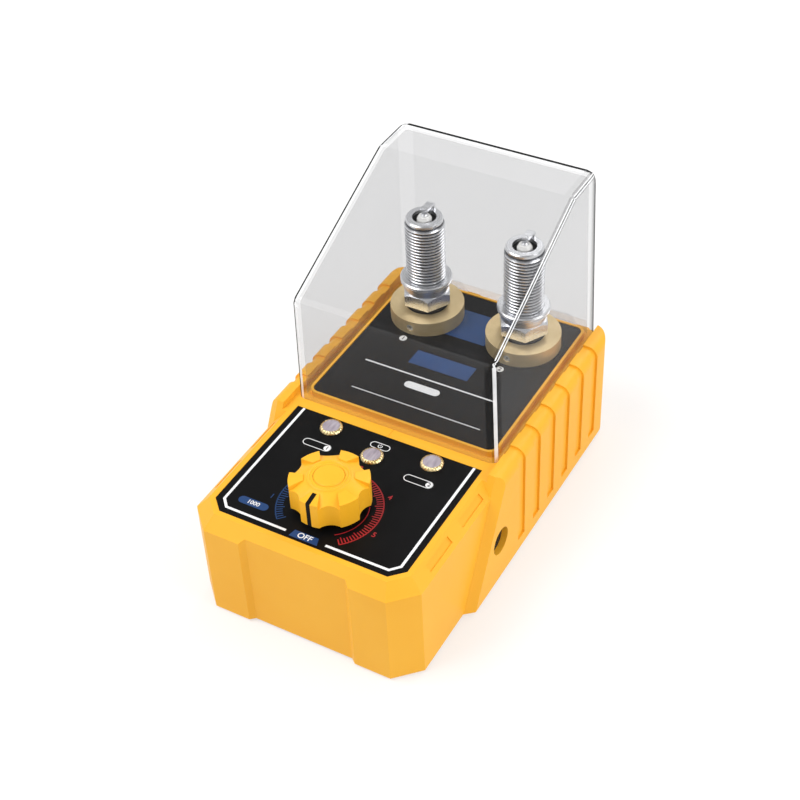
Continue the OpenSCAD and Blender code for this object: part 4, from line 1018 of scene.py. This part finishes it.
def seen_directly(tree):
    """Light path node, and a node that is 1 for rays from the camera or through clear material."""
    path = tree.nodes.new("ShaderNodeLightPath")
    seen = tree.nodes.new("ShaderNodeMath")
    seen.operation = "MAXIMUM"
    tree.links.new(path.outputs["Is Camera Ray"], seen.inputs[0])
    tree.links.new(path.outputs["Is Transmission Ray"], seen.inputs[1])
    return path, seen


def stage_floor():
    """Grey floor that a glow makes white, with its shadow left.

    Where it is seen directly, the glow grows with the distance, so that the floor meets the surround.
    """
    bm = bmesh.new()
    bmesh.ops.create_grid(bm, x_segments=8, y_segments=8, size=FLOOR_HALF)
    mesh = bpy.data.meshes.new("floor")
    bm.to_mesh(mesh)
    bm.free()
    floor = bpy.data.objects.new("floor", mesh)
    bpy.context.scene.collection.objects.link(floor)
    material = bpy.data.materials.new("floor_pale")
    material.use_nodes = True
    tree = material.node_tree
    tree.nodes.clear()
    output = tree.nodes.new("ShaderNodeOutputMaterial")
    matt = tree.nodes.new("ShaderNodeBsdfDiffuse")
    matt.inputs["Color"].default_value = (FLOOR_GREY, FLOOR_GREY, FLOOR_GREY, 1)
    glow = tree.nodes.new("ShaderNodeEmission")
    add = tree.nodes.new("ShaderNodeAddShader")
    _, seen = seen_directly(tree)
    level = tree.nodes.new("ShaderNodeMath")
    level.operation = "MULTIPLY_ADD"
    place = tree.nodes.new("ShaderNodeTexCoord")
    reach = tree.nodes.new("ShaderNodeVectorMath")
    reach.operation = "LENGTH"
    tree.links.new(place.outputs["Object"], reach.inputs[0])
    far = map_range(tree, FLOOR_NEAR, FLOOR_FAR, SEEN_GLOW_NEAR, SEEN_GLOW_FAR)
    tree.links.new(reach.outputs["Value"], far.inputs["Value"])
    tree.links.new(far.outputs["Result"], level.inputs[1])
    level.inputs[2].default_value = FLOOR_GLOW
    tree.links.new(seen.outputs[0], level.inputs[0])
    tree.links.new(level.outputs[0], glow.inputs["Strength"])
    tree.links.new(matt.outputs[0], add.inputs[0])
    tree.links.new(glow.outputs[0], add.inputs[1])
    tree.links.new(add.outputs[0], output.inputs["Surface"])
    mesh.materials.append(material)


def studio_world():
    """White surround for the camera and clear plastic; gloss sees it dim towards the ceiling."""
    world = bpy.data.worlds.new("studio")
    bpy.context.scene.world = world
    world.use_nodes = True
    tree = world.node_tree
    tree.nodes.clear()
    output = tree.nodes.new("ShaderNodeOutputWorld")
    back = tree.nodes.new("ShaderNodeBackground")
    back.inputs["Color"].default_value = (1, 1, 1, 1)
    place = tree.nodes.new("ShaderNodeTexCoord")
    split = tree.nodes.new("ShaderNodeSeparateXYZ")
    fade = map_range(tree, GLOSS_LOW_Z, GLOSS_HIGH_Z, GLOSS_LOW, GLOSS_HIGH)
    tree.links.new(place.outputs["Generated"], split.inputs["Vector"])
    tree.links.new(split.outputs["Z"], fade.inputs["Value"])
    path, seen = seen_directly(tree)
    gloss = tree.nodes.new("ShaderNodeMix")
    gloss.inputs["A"].default_value = SURROUND_LIGHT
    tree.links.new(path.outputs["Is Glossy Ray"], gloss.inputs["Factor"])
    tree.links.new(fade.outputs["Result"], gloss.inputs["B"])
    level = tree.nodes.new("ShaderNodeMix")
    level.inputs["B"].default_value = 1.0
    tree.links.new(seen.outputs[0], level.inputs["Factor"])
    tree.links.new(gloss.outputs["Result"], level.inputs["A"])
    tree.links.new(level.outputs["Result"], back.inputs["Strength"])
    tree.links.new(back.outputs["Background"], output.inputs["Surface"])


def softbox(name, place, target, size, power):
    """Rectangular lamp at a place, facing a target."""
    lamp = bpy.data.lights.new(name, "AREA")
    lamp.shape = "RECTANGLE"
    lamp.size, lamp.size_y = size
    lamp.energy = power
    box = bpy.data.objects.new(name, lamp)
    box.location = Vector(place)
    box.rotation_euler = (Vector(target) - Vector(place)).to_track_quat("-Z", "Y").to_euler()
    bpy.context.scene.collection.objects.link(box)


def photo_camera():
    """Camera at the photograph's angle: azimuth, elevation and a slight roll."""
    turn, rise, roll = math.radians(CAMERA_TURN), math.radians(CAMERA_RISE), math.radians(CAMERA_ROLL)
    back = Vector((math.sin(turn) * math.cos(rise), -math.cos(turn) * math.cos(rise), math.sin(rise)))
    right = Vector((math.cos(turn), math.sin(turn), 0))
    up = back.cross(right)
    across = right * math.cos(roll) + up * math.sin(roll)
    upward = up * math.cos(roll) - right * math.sin(roll)
    data = bpy.data.cameras.new("photo_camera")
    data.lens = CAMERA_LENS
    data.sensor_width = CAMERA_SENSOR
    data.clip_start = 0.01
    data.clip_end = 20
    camera = bpy.data.objects.new("photo_camera", data)
    spin = Matrix((across, upward, back)).transposed().to_4x4()
    camera.matrix_world = Matrix.Translation(point(*CAMERA_PLACE)) @ spin
    bpy.context.scene.collection.objects.link(camera)
    bpy.context.scene.camera = camera


stage_floor()
studio_world()
softbox("key_softbox", (-0.5, -0.45, 0.9), (0, 0, 0.04), (0.7, 0.7), 7.2)
softbox("fill_softbox", (0.9, 0.0, 0.45), (0, 0, 0.04), (0.6, 0.6), 4.2)
softbox("back_softbox", (0.1, 0.8, 0.7), (0, 0, 0.05), (0.8, 0.4), 3)
photo_camera()
bpy.context.scene.view_settings.view_transform = "Standard"
